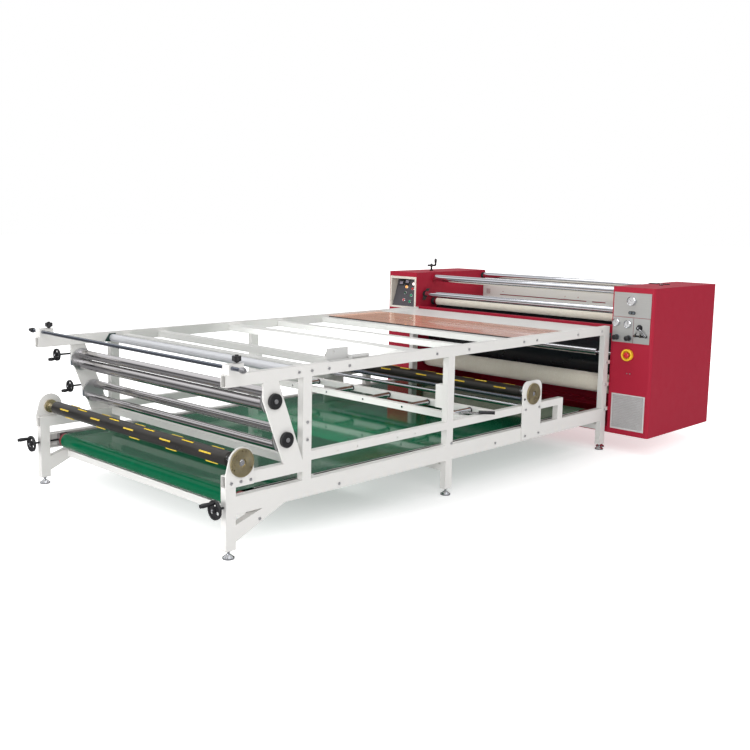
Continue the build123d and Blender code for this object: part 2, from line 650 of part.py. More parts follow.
with BuildPart() as guide_rod:
    bar_x((-1045, 1030), ROD, ROD_RADIUS)
    for hand in (1, -1):
        bar_x(side(hand, 1002, 1020), ROD, 15)
save(guide_rod.part, "guide_rod")


def star_knob(x, y, z, size, stem):
    """A five-lobed knob on a threaded stem, its face up."""
    with BuildPart() as knob:
        with BuildSketch(Plane.XY.offset(z)):
            with Locations((x, y)):
                Circle(size * 0.72)
                with PolarLocations(size * 0.68, 5):
                    Circle(size * 0.32)
        extrude(amount=24)
        bar_z((z - 6, z), x, y, size * 0.5)
        bar_z((z - stem, z), x, y, KNOB_STEM)
        bar_z((z + 24, z + 30), x, y, size * 0.4)
    return knob.part


save(star_knob(-SPINDLE_X, KNOB_Y, 960, 23, 48), "left_rod_knob")
save(star_knob(SPINDLE_X, KNOB_Y, 960, 23, 48), "right_rod_knob")

with BuildPart() as edge_guide_bracket:
    block((885, 921), at(685, 850), (900, 904))
    block((885, 889), at(685, 840), (900, 965))
    bar_x((885, 889), (FRONT + 735, 945), 5, Mode.SUBTRACT)
    block((885, 915), at(836, 850), (900, 922))
    bar_y(at(836, 982), 900, 912, 10)
save(edge_guide_bracket.part, "edge_guide_bracket")

# ---- Feet and bolts ----------------------------------------------------------------------------------------
PRESS_FEET = [(x, y) for x in (-862.0, 862.0) for y in (FRONT + 3505.0, FRONT + 4387.0)]
PRESS_FOOT = 10.0
BASE_Z = (125.0, 165.0)


def levelling_foot(x, y, top, stud, stud_top):
    """A foot: a round base with a cone, a stud, and a lock nut under the leg."""
    bar_z((0, 8), x, y, 30)
    with Locations((x, y, 8)):
        Cone(28, 12, 14, align=(Align.CENTER, Align.CENTER, Align.MIN))
    bar_z((8, stud_top), x, y, stud)
    with BuildSketch(Plane.XY.offset(top - 8)) as nut:
        with Locations((x, y)):
            RegularPolygon(stud * 1.6, 6, major_radius=False)
    extrude(nut.sketch, amount=8)


with BuildPart() as levelling_feet:
    for hand in (1, -1):
        for y in (POST_A, POST_C, POST_D):
            levelling_foot(hand * SPINDLE_X, FRONT + y + TUBE / 2, LEG_BOTTOM, SPINDLE, 70)
    for x, y in PRESS_FEET:
        levelling_foot(x, y, BASE_Z[0], PRESS_FOOT, BASE_Z[1] - 5)
save(levelling_feet.part, "levelling_feet")


def bolt(hand, face, y, z):
    """A socket-head bolt whose head rests on a face, its shank pointing inwards."""
    bar_x(side(hand, face - 16, face), (FRONT + y, z), BOLT_SHANK)
    bar_x(side(hand, face, face + BOLT_HEAD[1]), (FRONT + y, z), BOLT_HEAD[0])
    bar_x(side(hand, face + 2, face + BOLT_HEAD[1]), (FRONT + y, z), BOLT_SHANK, Mode.SUBTRACT)


with BuildPart() as frame_bolts:
    for hand in (1, -1):
        for y, z in RAIL_BOLTS + POST_BOLTS:
            bolt(hand, FRAME_OUTER, y, z)
        for y, z in FRONT_PLATE_BOLTS + REAR_PLATE_BOLTS:
            bolt(hand, PLATE_X[1], y, z)
        for z in LINK_Z:
            bolt(hand, FRAME_OUTER + LINK_THICK, LINK_BOLT, z)
save(frame_bolts.part, "frame_bolts")

# ---- Press frame: side plates, base and front cross panel ----------------------------------------------------
INNER_SPAN = (-CABINET_INNER, CABINET_INNER)
SLOTTED_Z = (944.0, 1078.0)
SLOT_Z = 974.0
SLOTTED_HOLES = (-710.0, -62.0, 66.0, 720.0)
PLATE_Y = (PRESS_FRONT + SHEET, PRESS_REAR - SHEET)

with BuildPart() as press_frame:
    for hand in (1, -1):
        plate_x = side(hand, CABINET_INNER, CABINET_INNER + SIDE_PLATE)
        block(plate_x, PLATE_Y, (CABINET_Z[0] + SHEET, CABINET_Z[1] - SHEET))
        block(side(hand, 850, CABINET_INNER), PLATE_Y, BASE_Z)
        for name, (y, z, radius) in (FELT_ROLLS | GUIDE_ROLLS).items():
            bar_x(plate_x, (y, z), roll_journal(name) + CLEAR, Mode.SUBTRACT)
        bar_x(plate_x, DRUM, DRUM_JOURNAL + CLEAR, Mode.SUBTRACT)
    for y in ((3473, 3533), (4357, 4417)):
        block(INNER_SPAN, at(*y), BASE_Z)
    block(INNER_SPAN, at(3476, 3496), (850, 906))
    block(INNER_SPAN, at(4397, 4417), (600, 660))
    # Rear cover sheet and bottom pan
    block(INNER_SPAN, (PLATE_Y[1] - SHEET, PLATE_Y[1]), (BASE_Z[1], SLOTTED_Z[1]))
    block(INNER_SPAN, PLATE_Y, (BASE_Z[0], BASE_Z[0] + SHEET))
    for x, y in PRESS_FEET:
        bar_z((BASE_Z[0], BASE_Z[1] - 5), x, y, PRESS_FOOT + CLEAR, Mode.SUBTRACT)
save(press_frame.part, "press_frame")

with BuildPart() as rear_slotted_panel:
    block(INNER_SPAN, at(4398, 4401), SLOTTED_Z)
    block(INNER_SPAN, at(4386, 4401), (SLOTTED_Z[1] - SHEET, SLOTTED_Z[1]))
    block(INNER_SPAN, at(4386, 4401), (SLOTTED_Z[0], SLOTTED_Z[0] + SHEET))
    for x0, x1 in ((-742, 149), (202, 329)):
        block((x0, x1), at(4398, 4401), (SLOT_Z - 4, SLOT_Z + 4), Mode.SUBTRACT)
    for x in SLOTTED_HOLES:
        bar_y(at(4398, 4401), x, 1001, 5, Mode.SUBTRACT)
    # Narrow openings side by side at the left end
    for row in range(5):
        low = 975 + 9 * row
        block((-895, -850), at(4398, 4401), (low, low + 4), Mode.SUBTRACT)
save(rear_slotted_panel.part, "rear_slotted_panel")

# ---- Drum, felt and rollers ------------------------------------------------------------------------------------
DRUM_WALL = 14.0
ROD_BORE = 24.0

with BuildPart() as heated_drum:
    bar_x((-PRESS_ROLL_HALF, PRESS_ROLL_HALF), DRUM, DRUM_RADIUS)
    bar_x((-1085, 1000), DRUM, DRUM_JOURNAL)
    inner_half = PRESS_ROLL_HALF - 25
    bar_x((-inner_half, inner_half), DRUM, DRUM_RADIUS - DRUM_WALL, Mode.SUBTRACT)
    bar_x((-1085, 1000), DRUM, ROD_BORE, Mode.SUBTRACT)
save(heated_drum.part, "heated_drum")

with BuildPart() as heating_element:
    bar_x((-860, 1040), DRUM, 16)
    block((1010, 1120), (DRUM[0] - 60, DRUM[0] + 60), (DRUM[1] - 60, DRUM[1] + 60))
    block((945, 1010), (DRUM[0] - 90, DRUM[0] - 70), (DRUM[1] - 60, DRUM[1] + 60))
    block((945, 1010), (DRUM[0] + 70, DRUM[0] + 90), (DRUM[1] - 60, DRUM[1] + 60))
    block((1005, 1015), (DRUM[0] - 90, DRUM[0] + 90), (DRUM[1] - 60, DRUM[1] + 60))
save(heating_element.part, "heating_element")

with BuildPart() as felt_blanket:
    path = [(y, z, radius, -1) for y, z, radius in FELT_ROLLS.values()]
    band(path + [(*DRUM, DRUM_RADIUS, 1)], FELT_GAP, FELT, PRESS_ROLL_HALF - 25)
save(felt_blanket.part, "felt_blanket")

for name in FELT_ROLLS:
    save(felt_roller(name), name)

for name, (y, z, radius) in GUIDE_ROLLS.items():
    half = 780 if name == "inner_guide_roller" else PRESS_ROLL_HALF
    save(plain_roller((y, z), radius, half, GUIDE_JOURNAL, PRESS_JOURNAL_END), name)

with BuildPart() as drive_gearmotor:
    block((-1080, -960), (DRUM[0] - 120, DRUM[0] + 120), (DRUM[1] - 120, DRUM[1] + 120))
    bar_x((-1080, -945), DRUM, 80)
    bar_x((-1080, -945), DRUM, DRUM_JOURNAL + CLEAR, Mode.SUBTRACT)
    bar_z((DRUM[1] - 380, DRUM[1] - 120), -1020, DRUM[0], 68)
    bar_z((DRUM[1] - 400, DRUM[1] - 380), -1020, DRUM[0], 60)
save(drive_gearmotor.part, "drive_gearmotor")

# ---- Cabinets ------------------------------------------------------------------------------------------------------
STEM = 8.0
TOP_WHEEL = (-1090.0, FRONT + 3846.0)
CONSOLE_X = (-1215.0, -950.0)
CONSOLE_Z = (888.0, 1132.0)
LOUVRE_X = (957.0, 1217.0)
LOUVRE_Z = (163.0, 420.0)
VALVE = (1149.0, 905.0)
VALVE_PIN = 5.0
REGULATORS = {"left_regulator_knob": (974.0, 826.0), "right_regulator_knob": (1069.0, 826.0)}
ESTOP = (1068.0, 705.0)
FRONT_SKIN = (PRESS_FRONT, PRESS_FRONT + SHEET)


def cabinet(hand):
    """A folded sheet cabinet, open towards the side plate that closes it."""
    for skin, mode in ((0.0, Mode.ADD), (SHEET, Mode.SUBTRACT)):
        x = side(hand, CABINET_INNER, CABINET_OUTER - skin)
        y = (PRESS_FRONT + skin, PRESS_REAR - skin)
        z = (CABINET_Z[0] + skin, CABINET_Z[1] - skin)
        with BuildSketch(Plane.XY.offset(z[0])) as plan:
            with Locations(((x[0] + x[1]) / 2, (y[0] + y[1]) / 2)):
                Rectangle(x[1] - x[0], y[1] - y[0])
            outer = plan.vertices().group_by(Axis.X)[-1 if hand > 0 else 0]
            fillet(outer, CABINET_CORNER - skin)
        extrude(plan.sketch, amount=z[1] - z[0], mode=mode)


with BuildPart() as left_cabinet:
    cabinet(-1)
    block(CONSOLE_X, FRONT_SKIN, CONSOLE_Z, Mode.SUBTRACT)
    top_skin = (CABINET_Z[1] - SHEET, CABINET_Z[1])
    bar_z(top_skin, *TOP_WHEEL, STEM + CLEAR, Mode.SUBTRACT)
save(left_cabinet.part, "left_cabinet")

with BuildPart() as right_cabinet:
    cabinet(1)
    block((LOUVRE_X[0] + 8, LOUVRE_X[1] - 8), FRONT_SKIN, (LOUVRE_Z[0] + 8, LOUVRE_Z[1] - 8), Mode.SUBTRACT)
    for x, z in (VALVE, ESTOP, *REGULATORS.values()):
        bar_y(FRONT_SKIN, x, z, 12, Mode.SUBTRACT)
    # Sealed adjuster on top: a low strip with one capped screw
    block((936, 1092), at(3968, 3988), (CABINET_Z[1], CABINET_Z[1] + 7))
    bar_z((CABINET_Z[1], CABINET_Z[1] + 14), 1090, FRONT + 3858, 14)
    for x in (1068, 1092):
        bar_y((PRESS_FRONT - 2.5, PRESS_FRONT), x, 572, 4.5)
save(right_cabinet.part, "right_cabinet")

with BuildPart() as louvre_grille:
    grille_y = (PRESS_FRONT - 2, PRESS_FRONT)
    block(LOUVRE_X, grille_y, LOUVRE_Z)
    block((LOUVRE_X[0] + 10, LOUVRE_X[1] - 10), grille_y, (LOUVRE_Z[0] + 10, LOUVRE_Z[1] - 10), Mode.SUBTRACT)
    SLAT_PITCH = 11.85
    for step in range(20):
        z = LOUVRE_Z[0] + 10 + step * SLAT_PITCH
        slat = [(-2.0, z), (-0.2, z), (7.0, z + 9.5), (5.2, z + 9.5)]
        slat_points = [(PRESS_FRONT + y, z) for y, z in slat]
        profile_x((LOUVRE_X[0] + 9, LOUVRE_X[1] - 9), slat_points)
save(louvre_grille.part, "louvre_grille")

# ---- Operator's console, sunk in the front of the left cabinet ---------------------------------------------------------
SLOPE_FOOT = (PRESS_FRONT + 9.0, 893.0)
SLOPE_HEAD = (PRESS_FRONT + 88.0, 1127.0)
SLOPE_LENGTH = hypot(SLOPE_HEAD[0] - SLOPE_FOOT[0], SLOPE_HEAD[1] - SLOPE_FOOT[1])
SLOPE_OUT = (
    -(SLOPE_HEAD[1] - SLOPE_FOOT[1]) / SLOPE_LENGTH,
    (SLOPE_HEAD[0] - SLOPE_FOOT[0]) / SLOPE_LENGTH,
)
BUTTON_STEM = 6.0
BUTTONS = {
    "stop_button": (-1020.0, 1040.0),
    "start_button": (-1020.0, 984.0),
    "feed_button": (-1020.0, 932.0),
}
LAMPS = [(-1020.0, 1080.0), (-1092.0, 1052.0)]
SWITCHES = [(-1092.0, 1002.0), (-1092.0, 942.0)]


def on_slope(x, z):
    """A plane on the console's sloped face, its normal towards the operator."""
    along = (z - SLOPE_FOOT[1]) / (SLOPE_HEAD[1] - SLOPE_FOOT[1])
    y = SLOPE_FOOT[0] + along * (SLOPE_HEAD[0] - SLOPE_FOOT[0])
    return Plane(origin=(x, y, z), x_dir=(1, 0, 0), z_dir=(0, *SLOPE_OUT))


def disc_on(plane, low, high, radius, mode=Mode.ADD):
    """A round piece standing on a plane, between two heights above it."""
    with BuildSketch(plane.offset(low)) as disc:
        Circle(radius)
    extrude(disc.sketch, amount=high - low, mode=mode)


with BuildPart() as control_console:
    lip_y = PRESS_FRONT - 4
    outer = [(lip_y, 888), (PRESS_FRONT + 13, 888), (PRESS_FRONT + 95, 1132), (lip_y, 1132)]
    profile_x(CONSOLE_X, outer)
    block((-1230, -935), (lip_y, PRESS_FRONT), (878, 1147))
    hollow = [(lip_y, 893), SLOPE_FOOT, SLOPE_HEAD, (lip_y, 1127)]
    profile_x((CONSOLE_X[0] + SHEET, CONSOLE_X[1] - SHEET), hollow, Mode.SUBTRACT)
    for x, z in BUTTONS.values():
        disc_on(on_slope(x, z), 0, 5, 15)
        disc_on(on_slope(x, z), 0.5, 5, 11.5, Mode.SUBTRACT)
        disc_on(on_slope(x, z), -8, 1, BUTTON_STEM + CLEAR, Mode.SUBTRACT)
    for x, z in LAMPS:
        disc_on(on_slope(x, z), 0, 5, 15)
        disc_on(on_slope(x, z), 0, 12, 11)
    for x, z in SWITCHES:
        disc_on(on_slope(x, z), 0, 5, 15)
        disc_on(on_slope(x, z), 0, 14, 9)
    for x, z in ((-1165.0, 1085.0), (-1100.0, 1097.0)):
        with BuildSketch(on_slope(x, z)):
            Rectangle(48, 44)
        extrude(amount=5)
save(control_console.part, "control_console")

for name, (x, z) in BUTTONS.items():
    with BuildPart() as button:
        disc_on(on_slope(x, z), 5, 11, 10.5)
        disc_on(on_slope(x, z), -14, 6, BUTTON_STEM)
    save(button.part, name)

# ---- Instruments of the right cabinet -----------------------------------------------------------------------------------
PANEL_Y = (PRESS_FRONT - SHEET, PRESS_FRONT)
GAUGES = [(1080.0, 1090.0, 32.0), (968.0, 932.0, 27.0), (1059.0, 925.0, 27.0)]
REGULATOR_STEM = 6.0

with BuildPart() as instrument_panel:
    block((940, 1228), PANEL_Y, (974, 1147))
    block((938, 1099), PANEL_Y, (792, 971))
    block((1102, 1226), PANEL_Y, (792, 971))
    for x, z, radius in GAUGES:
        bar_y((PANEL_Y[0] - 14, PANEL_Y[0]), x, z, radius)
        bar_y((PANEL_Y[0] - 14, PANEL_Y[0] - 10), x, z, radius - 4, Mode.SUBTRACT)
    with BuildSketch(facing_front(1085, PANEL_Y[0], 1006)):
        SlotOverall(54, 24)
    extrude(amount=5)
    for x in (1116, 1158, 1200):
        bar_y((PANEL_Y[0] - 8, PANEL_Y[0]), x, 846, 9)
    bar_y((PANEL_Y[0] - 4, PANEL_Y[0]), *VALVE, 22)
    bar_y((PANEL_Y[0] - 4, PANEL_Y[1]), *VALVE, VALVE_PIN + CLEAR, Mode.SUBTRACT)
    for x, z in REGULATORS.values():
        bar_y((PANEL_Y[0] - 10, PANEL_Y[0]), x, z, 20)
        bar_y((PANEL_Y[0] - 10, PANEL_Y[1]), x, z, REGULATOR_STEM + CLEAR, Mode.SUBTRACT)
    # Yellow shroud round the emergency stop
    bar_y((PRESS_FRONT - 22, PRESS_FRONT), *ESTOP, 42)
    bar_y((PRESS_FRONT - 22, PRESS_FRONT - 5), *ESTOP, 30, Mode.SUBTRACT)
    bar_y((PRESS_FRONT - 8, PRESS_FRONT), *ESTOP, STEM + CLEAR, Mode.SUBTRACT)
save(instrument_panel.part, "instrument_panel")

with BuildPart() as valve_lever:
    bar_y((PANEL_Y[0] - 26, PANEL_Y[0] - 5), *VALVE, 14)
    bar_y((PANEL_Y[0] - 5, PANEL_Y[1] + 10), *VALVE, VALVE_PIN)
    with Locations(Location((VALVE[0], PANEL_Y[0] - 22, VALVE[1]), (0, 45, 0))):
        with Locations((40, 0, 0)):
            Box(84, 8, 12)
save(valve_lever.part, "valve_lever")

for name, (x, z) in REGULATORS.items():
    with BuildPart() as knob:
        bar_y((PANEL_Y[0] - 40, PANEL_Y[0] - 11), x, z, 18)
        for turn in range(12):
            spot = leaned((x, z), 18.6, turn * 30)
            bar_y((PANEL_Y[0] - 38, PANEL_Y[0] - 14), *spot, 2.2, Mode.SUBTRACT)
        bar_y((PANEL_Y[0] - 12, PANEL_Y[1] + 8), x, z, REGULATOR_STEM)
    save(knob.part, name)

with BuildPart() as estop_button:
    bar_y((PRESS_FRONT - 26, PRESS_FRONT - 13), *ESTOP, 20)
    bar_y((PRESS_FRONT - 13, PRESS_FRONT + 14), *ESTOP, STEM)
save(estop_button.part, "estop_button")

with BuildPart() as top_handwheel:
    flat = Plane(origin=(*TOP_WHEEL, 1226))
    add(handwheel(flat, 35, (26, 24, 70), (STEM, 60)))
    bar_z((CABINET_Z[1] + 0.5, CABINET_Z[1] + 10), *TOP_WHEEL, 14)
save(top_handwheel.part, "top_handwheel")
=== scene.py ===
"""Looks of a rotary heat press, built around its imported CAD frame. Metres, +Z up."""

import math

import bpy
from mathutils import Matrix, Vector, noise


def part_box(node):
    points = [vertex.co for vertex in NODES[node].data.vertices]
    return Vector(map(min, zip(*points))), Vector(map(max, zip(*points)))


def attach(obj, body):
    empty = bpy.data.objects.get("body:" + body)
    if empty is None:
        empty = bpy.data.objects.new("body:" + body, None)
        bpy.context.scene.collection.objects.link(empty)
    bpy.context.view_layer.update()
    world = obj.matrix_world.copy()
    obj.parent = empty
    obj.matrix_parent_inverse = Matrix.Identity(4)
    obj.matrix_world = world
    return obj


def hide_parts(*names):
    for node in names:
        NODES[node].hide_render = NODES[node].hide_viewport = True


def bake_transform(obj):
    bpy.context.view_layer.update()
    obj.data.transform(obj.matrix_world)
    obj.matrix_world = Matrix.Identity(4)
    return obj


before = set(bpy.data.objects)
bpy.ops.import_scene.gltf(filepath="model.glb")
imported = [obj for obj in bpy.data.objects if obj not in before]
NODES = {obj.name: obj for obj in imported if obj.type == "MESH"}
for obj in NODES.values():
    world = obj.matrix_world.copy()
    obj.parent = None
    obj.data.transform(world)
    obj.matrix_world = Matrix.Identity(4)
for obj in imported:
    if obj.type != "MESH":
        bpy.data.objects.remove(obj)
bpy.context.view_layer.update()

FRONT = -2.140  # front face of the table's front legs
PRESS_FRONT = 1.330  # front face of the cabinets
TAU = 2 * math.pi


# ---- Node trees --------------------------------------------------------------------------------
class Tree:
    """Shorthand for one material's node tree, worked in the row frame's own coordinates."""

    def __init__(self, name):
        self.material = bpy.data.materials.new(name)
        self.material.use_nodes = True
        self.tree = self.material.node_tree
        self.tree.nodes.clear()
        out = self.add("ShaderNodeOutputMaterial")
        self.bsdf = self.add("ShaderNodeBsdfPrincipled")
        self.join(self.bsdf.outputs[0], out.inputs[0])
        self.place = self.add("ShaderNodeTexCoord").outputs["Object"]

    def add(self, kind, **settings):
        node = self.tree.nodes.new(kind)
        for key, value in settings.items():
            setattr(node, key, value)
        return node

    def join(self, source, target):
        if isinstance(source, (int, float)):
            target.default_value = source
        elif isinstance(source, tuple):
            target.default_value = source if len(source) == len(target.default_value) else (*source, 1.0)
        else:
            self.tree.links.new(source, target)

    def noise(self, scale, stretch=(1, 1, 1), detail=3.0, rough=0.55):
        """Noise from 0 to 1, its cells drawn out where stretch is below 1."""
        mapping = self.add("ShaderNodeMapping")
        self.join(self.place, mapping.inputs["Vector"])
        mapping.inputs["Scale"].default_value = [scale * s for s in stretch]
        texture = self.add("ShaderNodeTexNoise")
        self.join(mapping.outputs[0], texture.inputs["Vector"])
        texture.inputs["Scale"].default_value = 1.0
        texture.inputs["Detail"].default_value = detail
        texture.inputs["Roughness"].default_value = rough
        return texture.outputs[0]

    def calc(self, operation, a, b=0.0):
        node = self.add("ShaderNodeMath", operation=operation)
        self.join(a, node.inputs[0])
        self.join(b, node.inputs[1])
        return node.outputs[0]

    def fit(self, value, low, high, to_low, to_high):
        """Maps value from low..high to to_low..to_high, clamped."""
        node = self.add("ShaderNodeMapRange")
        for index, item in enumerate((value, low, high, to_low, to_high)):
            self.join(item, node.inputs[index])
        return node.outputs[0]

    def mix(self, factor, a, b):
        node = self.add("ShaderNodeMix", data_type="RGBA")
        self.join(factor, node.inputs[0])
        self.join(a, node.inputs[6])
        self.join(b, node.inputs[7])
        return node.outputs[2]

    def xyz(self):
        node = self.add("ShaderNodeSeparateXYZ")
        self.join(self.place, node.inputs[0])
        return node.outputs

    def bump(self, height, strength, distance, normal=None):
        node = self.add("ShaderNodeBump")
        node.inputs["Strength"].default_value = strength
        node.inputs["Distance"].default_value = distance
        self.join(height, node.inputs["Height"])
        if normal is not None:
            self.join(normal, node.inputs["Normal"])
        return node.outputs[0]

    def soft_edges(self, radius):
        node = self.add("ShaderNodeBevel", samples=4)
        node.inputs["Radius"].default_value = radius
        return node.outputs[0]

    def edge_mask(self, radius, low=0.02, high=0.25):
        """1 along worn edges and 0 on the flats."""
        rounded = self.add("ShaderNodeBevel", samples=4)
        rounded.inputs["Radius"].default_value = radius
        geometry = self.add("ShaderNodeNewGeometry")
        dot = self.add("ShaderNodeVectorMath", operation="DOT_PRODUCT")
        self.join(rounded.outputs[0], dot.inputs[0])
        self.join(geometry.outputs["True Normal"], dot.inputs[1])
        return self.fit(self.calc("SUBTRACT", 1.0, dot.outputs["Value"]), low, high, 0.0, 1.0)

    def round_brush(self):
        """Turns the highlight into the fans of a faced disc, about the piece's own X axis."""
        tangent = self.add("ShaderNodeTangent", direction_type="RADIAL", axis="X")
        self.join(tangent.outputs[0], self.bsdf.inputs["Tangent"])
        self.bsdf.inputs["Anisotropic"].default_value = 0.8

    def set(self, **inputs):
        for name, value in inputs.items():
            self.join(value, self.bsdf.inputs[name.replace("_", " ")])
        return self.material


def shade(colour, factor):
    return tuple(min(1.0, c * factor) for c in colour)


def painted(name, colour, rough, peel=0.06, worn=(0.7, 0.7, 0.7), wear=0.25, specular=0.5):
    """Powder-coated steel: orange peel, faint clouding, a little dust and thinner paint at edges."""
    edge = 0.0015
    t = Tree(name)
    cloud = t.noise(2.2, detail=4)
    tone = t.mix(cloud, shade(colour, 0.96), shade(colour, 1.03))
    dust = t.fit(t.noise(38, detail=5), 0.60, 0.80, 0.0, 0.05)
    tone = t.mix(dust, tone, shade(colour, 0.75))
    mask = t.calc("MULTIPLY", t.edge_mask(edge * 1.3), t.fit(t.noise(30), 0.45, 0.7, 0.0, wear))
    tone = t.mix(mask, tone, worn)
    grain = t.noise(900, detail=2)
    smear = t.noise(9, detail=4)
    normal = t.bump(grain, peel, 0.0004, t.soft_edges(edge))
    return t.set(
        Base_Color=tone,
        Roughness=t.fit(smear, 0.3, 0.75, rough - 0.04, rough + 0.08),
        Specular_IOR_Level=specular,
        Normal=normal,
    )


def polished(name, colour, rough, turned=True):
    """Polished metal with faint marks, which run round the X axis on a turned piece."""
    t = Tree(name)
    lines = t.noise(1500, (1, 0.02, 0.02) if turned else (1, 1, 1), detail=2)
    smudge = t.noise(3, detail=3)
    tone = t.mix(smudge, shade(colour, 0.96), shade(colour, 1.03))
    smears = t.fit(smudge, 0.35, 0.7, rough * 0.85, rough * 1.2)
    rough_map = t.calc("ADD", smears, t.calc("MULTIPLY", lines, 0.03))
    normal = t.bump(lines, 0.02, 0.0002, t.soft_edges(0.0008))
    return t.set(Base_Color=tone, Metallic=1.0, Roughness=rough_map, Normal=normal)


def moulded(name, colour, rough=0.45, grain=0.12, scale=1800, coat=0.0):
    """Moulded plastic with a fine sparked grain and slightly shiny handled spots."""
    t = Tree(name)
    texture = t.noise(scale, detail=2)
    wear = t.noise(25, detail=4)
    tone = t.mix(wear, shade(colour, 0.85), shade(colour, 1.15))
    rub = t.edge_mask(0.0012)
    tone = t.mix(t.calc("MULTIPLY", rub, 0.25), tone, shade(colour, 2.0))
    normal = t.bump(texture, grain, 0.0003, t.soft_edges(0.0008))
    return t.set(
        Base_Color=tone,
        Roughness=t.fit(wear, 0.3, 0.75, rough - 0.1, rough + 0.08),
        Coat_Weight=coat,
        Normal=normal,
    )


WHITE = painted("white_paint", (0.71, 0.70, 0.68), rough=0.36)
WHITE_SHEET = painted("white_sheet", (0.69, 0.69, 0.67), rough=0.32)
RED = painted(
    "red_paint", (0.375, 0.011, 0.034), rough=0.46, worn=(0.5, 0.10, 0.12), wear=0.12, specular=0.22
)
CHROME = polished("chrome", (0.72, 0.73, 0.76), 0.07)
CHROME_DARK = polished("tension_chrome", (0.62, 0.60, 0.60), 0.07)
STEEL = polished("steel", (0.50, 0.50, 0.51), 0.28, turned=False)
BOLT_STEEL = polished("bolt_steel", (0.60, 0.60, 0.61), 0.34, turned=False)
BLUED = polished("blued_steel", (0.20, 0.22, 0.26), 0.16)
BLACK = moulded("black_plastic", (0.012, 0.012, 0.014), rough=0.5)
BLACK_METAL = painted("black_metal", (0.02, 0.02, 0.022), rough=0.42, worn=(0.2, 0.2, 0.2))
GREEN_METAL = painted("dark_green_metal", (0.015, 0.045, 0.038), rough=0.35, worn=(0.2, 0.25, 0.22))
BRACKET_GREY = painted("bracket_grey", (0.56, 0.56, 0.55), rough=0.34)
CAST = painted("grey_casting", (0.10, 0.12, 0.14), rough=0.5, peel=0.4)
RED_PLASTIC = moulded("red_plastic", (0.62, 0.02, 0.03), rough=0.3, coat=0.3)
GREEN_PLASTIC = moulded("green_plastic", (0.01, 0.28, 0.12), rough=0.3, coat=0.3)
DARK_GREEN = moulded("dark_green_plastic", (0.005, 0.06, 0.025), rough=0.3, coat=0.3)
YELLOW = moulded("yellow_key", (0.72, 0.50, 0.03), rough=0.35)
SHROUD = moulded("yellow_shroud", (0.86, 0.52, 0.02), rough=0.4)
GRILLE = moulded("grille_plastic", (0.56, 0.55, 0.55), rough=0.5)


def zinc_material():
    """Yellow-passivated zinc, brushed in circles about the shaft axis."""
    t = Tree("yellow_zinc")
    cloud = t.noise(26, detail=5)
    tone = t.mix(cloud, (0.34, 0.28, 0.155), (0.58, 0.50, 0.31))
    tone = t.mix(t.fit(t.noise(60), 0.55, 0.7, 0.0, 0.3), tone, (0.30, 0.32, 0.30))
    lines = t.noise(1100, detail=2)
    t.round_brush()
    return t.set(
        Base_Color=tone,
        Metallic=0.95,
        Roughness=t.fit(cloud, 0.3, 0.7, 0.26, 0.38),
        Normal=t.bump(lines, 0.06, 0.0002, t.soft_edges(0.001)),
    )


def shaft_material():
    """Hard-anodised dark tube with fine turning lines."""
    t = Tree("dark_shaft")
    lines = t.noise(2400, (1, 0.01, 0.01), detail=1)
    smudge = t.noise(12, (0.3, 1, 1), detail=5)
    tone = t.mix(smudge, (0.034, 0.032, 0.030), (0.085, 0.080, 0.074))
    return t.set(
        Base_Color=tone,
        Metallic=0.75,
        Roughness=t.fit(smudge, 0.3, 0.7, 0.26, 0.42),
        Normal=t.bump(lines, 0.08, 0.0002, t.soft_edges(0.001)),
    )


def copper_material():
    """Glossy copper-brown slide panel, rolled across the table, under a clear coat."""
    t = Tree("copper_panel")
    grain = t.noise(7, (0.12, 2.2, 1), detail=6, rough=0.65)
    fine = t.noise(60, (0.05, 2.5, 1), detail=4)
    # Painted light and shade: the copper is painted lighter at the panel's left end (-X) and darker towards
    # its right end (+X).
    across = t.fit(t.xyz()[0], -0.9, 0.9, 0.0, 1.0)
    tone = t.mix(across, (0.86, 0.42, 0.25), (0.66, 0.36, 0.28))
    tone = t.mix(t.fit(grain, 0.35, 0.65, 0.0, 0.25), tone, (0.50, 0.23, 0.15))
    tone = t.mix(t.fit(fine, 0.4, 0.7, 0.0, 0.18), tone, (0.84, 0.52, 0.38))
    return t.set(
        Base_Color=tone,
        Metallic=0.08,
        Roughness=t.fit(grain, 0.3, 0.7, 0.20, 0.32),
        Coat_Weight=0.5,
        Coat_Roughness=0.04,
        Normal=t.bump(fine, 0.03, 0.0003, t.soft_edges(0.001)),
    )


def belt_material():
    """Green PVC conveyor belt: a deep glossy face with faint travel streaks and a dark splice."""
    t = Tree("belt_green")
    streak = t.noise(9, (2.5, 0.10, 1), detail=4)
    scuff = t.noise(2.5, detail=4)
    tone = t.mix(streak, (0.0005, 0.078, 0.032), (0.001, 0.110, 0.048))
    tone = t.mix(t.fit(scuff, 0.55, 0.8, 0.0, 0.15), tone, (0.006, 0.17, 0.08))
    x, y, z = t.xyz()
    splice = t.calc("ABSOLUTE", t.calc("ADD", t.calc("MULTIPLY", x, 0.18), t.calc("SUBTRACT", y, -0.6)))
    tone = t.mix(t.fit(splice, 0.0012, 0.0030, 0.4, 0.0), tone, (0.0, 0.05, 0.02))
    cloth = t.noise(1400, (1, 1, 1), detail=1)
    return t.set(
        Base_Color=tone,
        Roughness=t.fit(scuff, 0.3, 0.75, 0.06, 0.10),
        Specular_IOR_Level=0.16,
        Normal=t.bump(cloth, 0.015, 0.0002),
    )


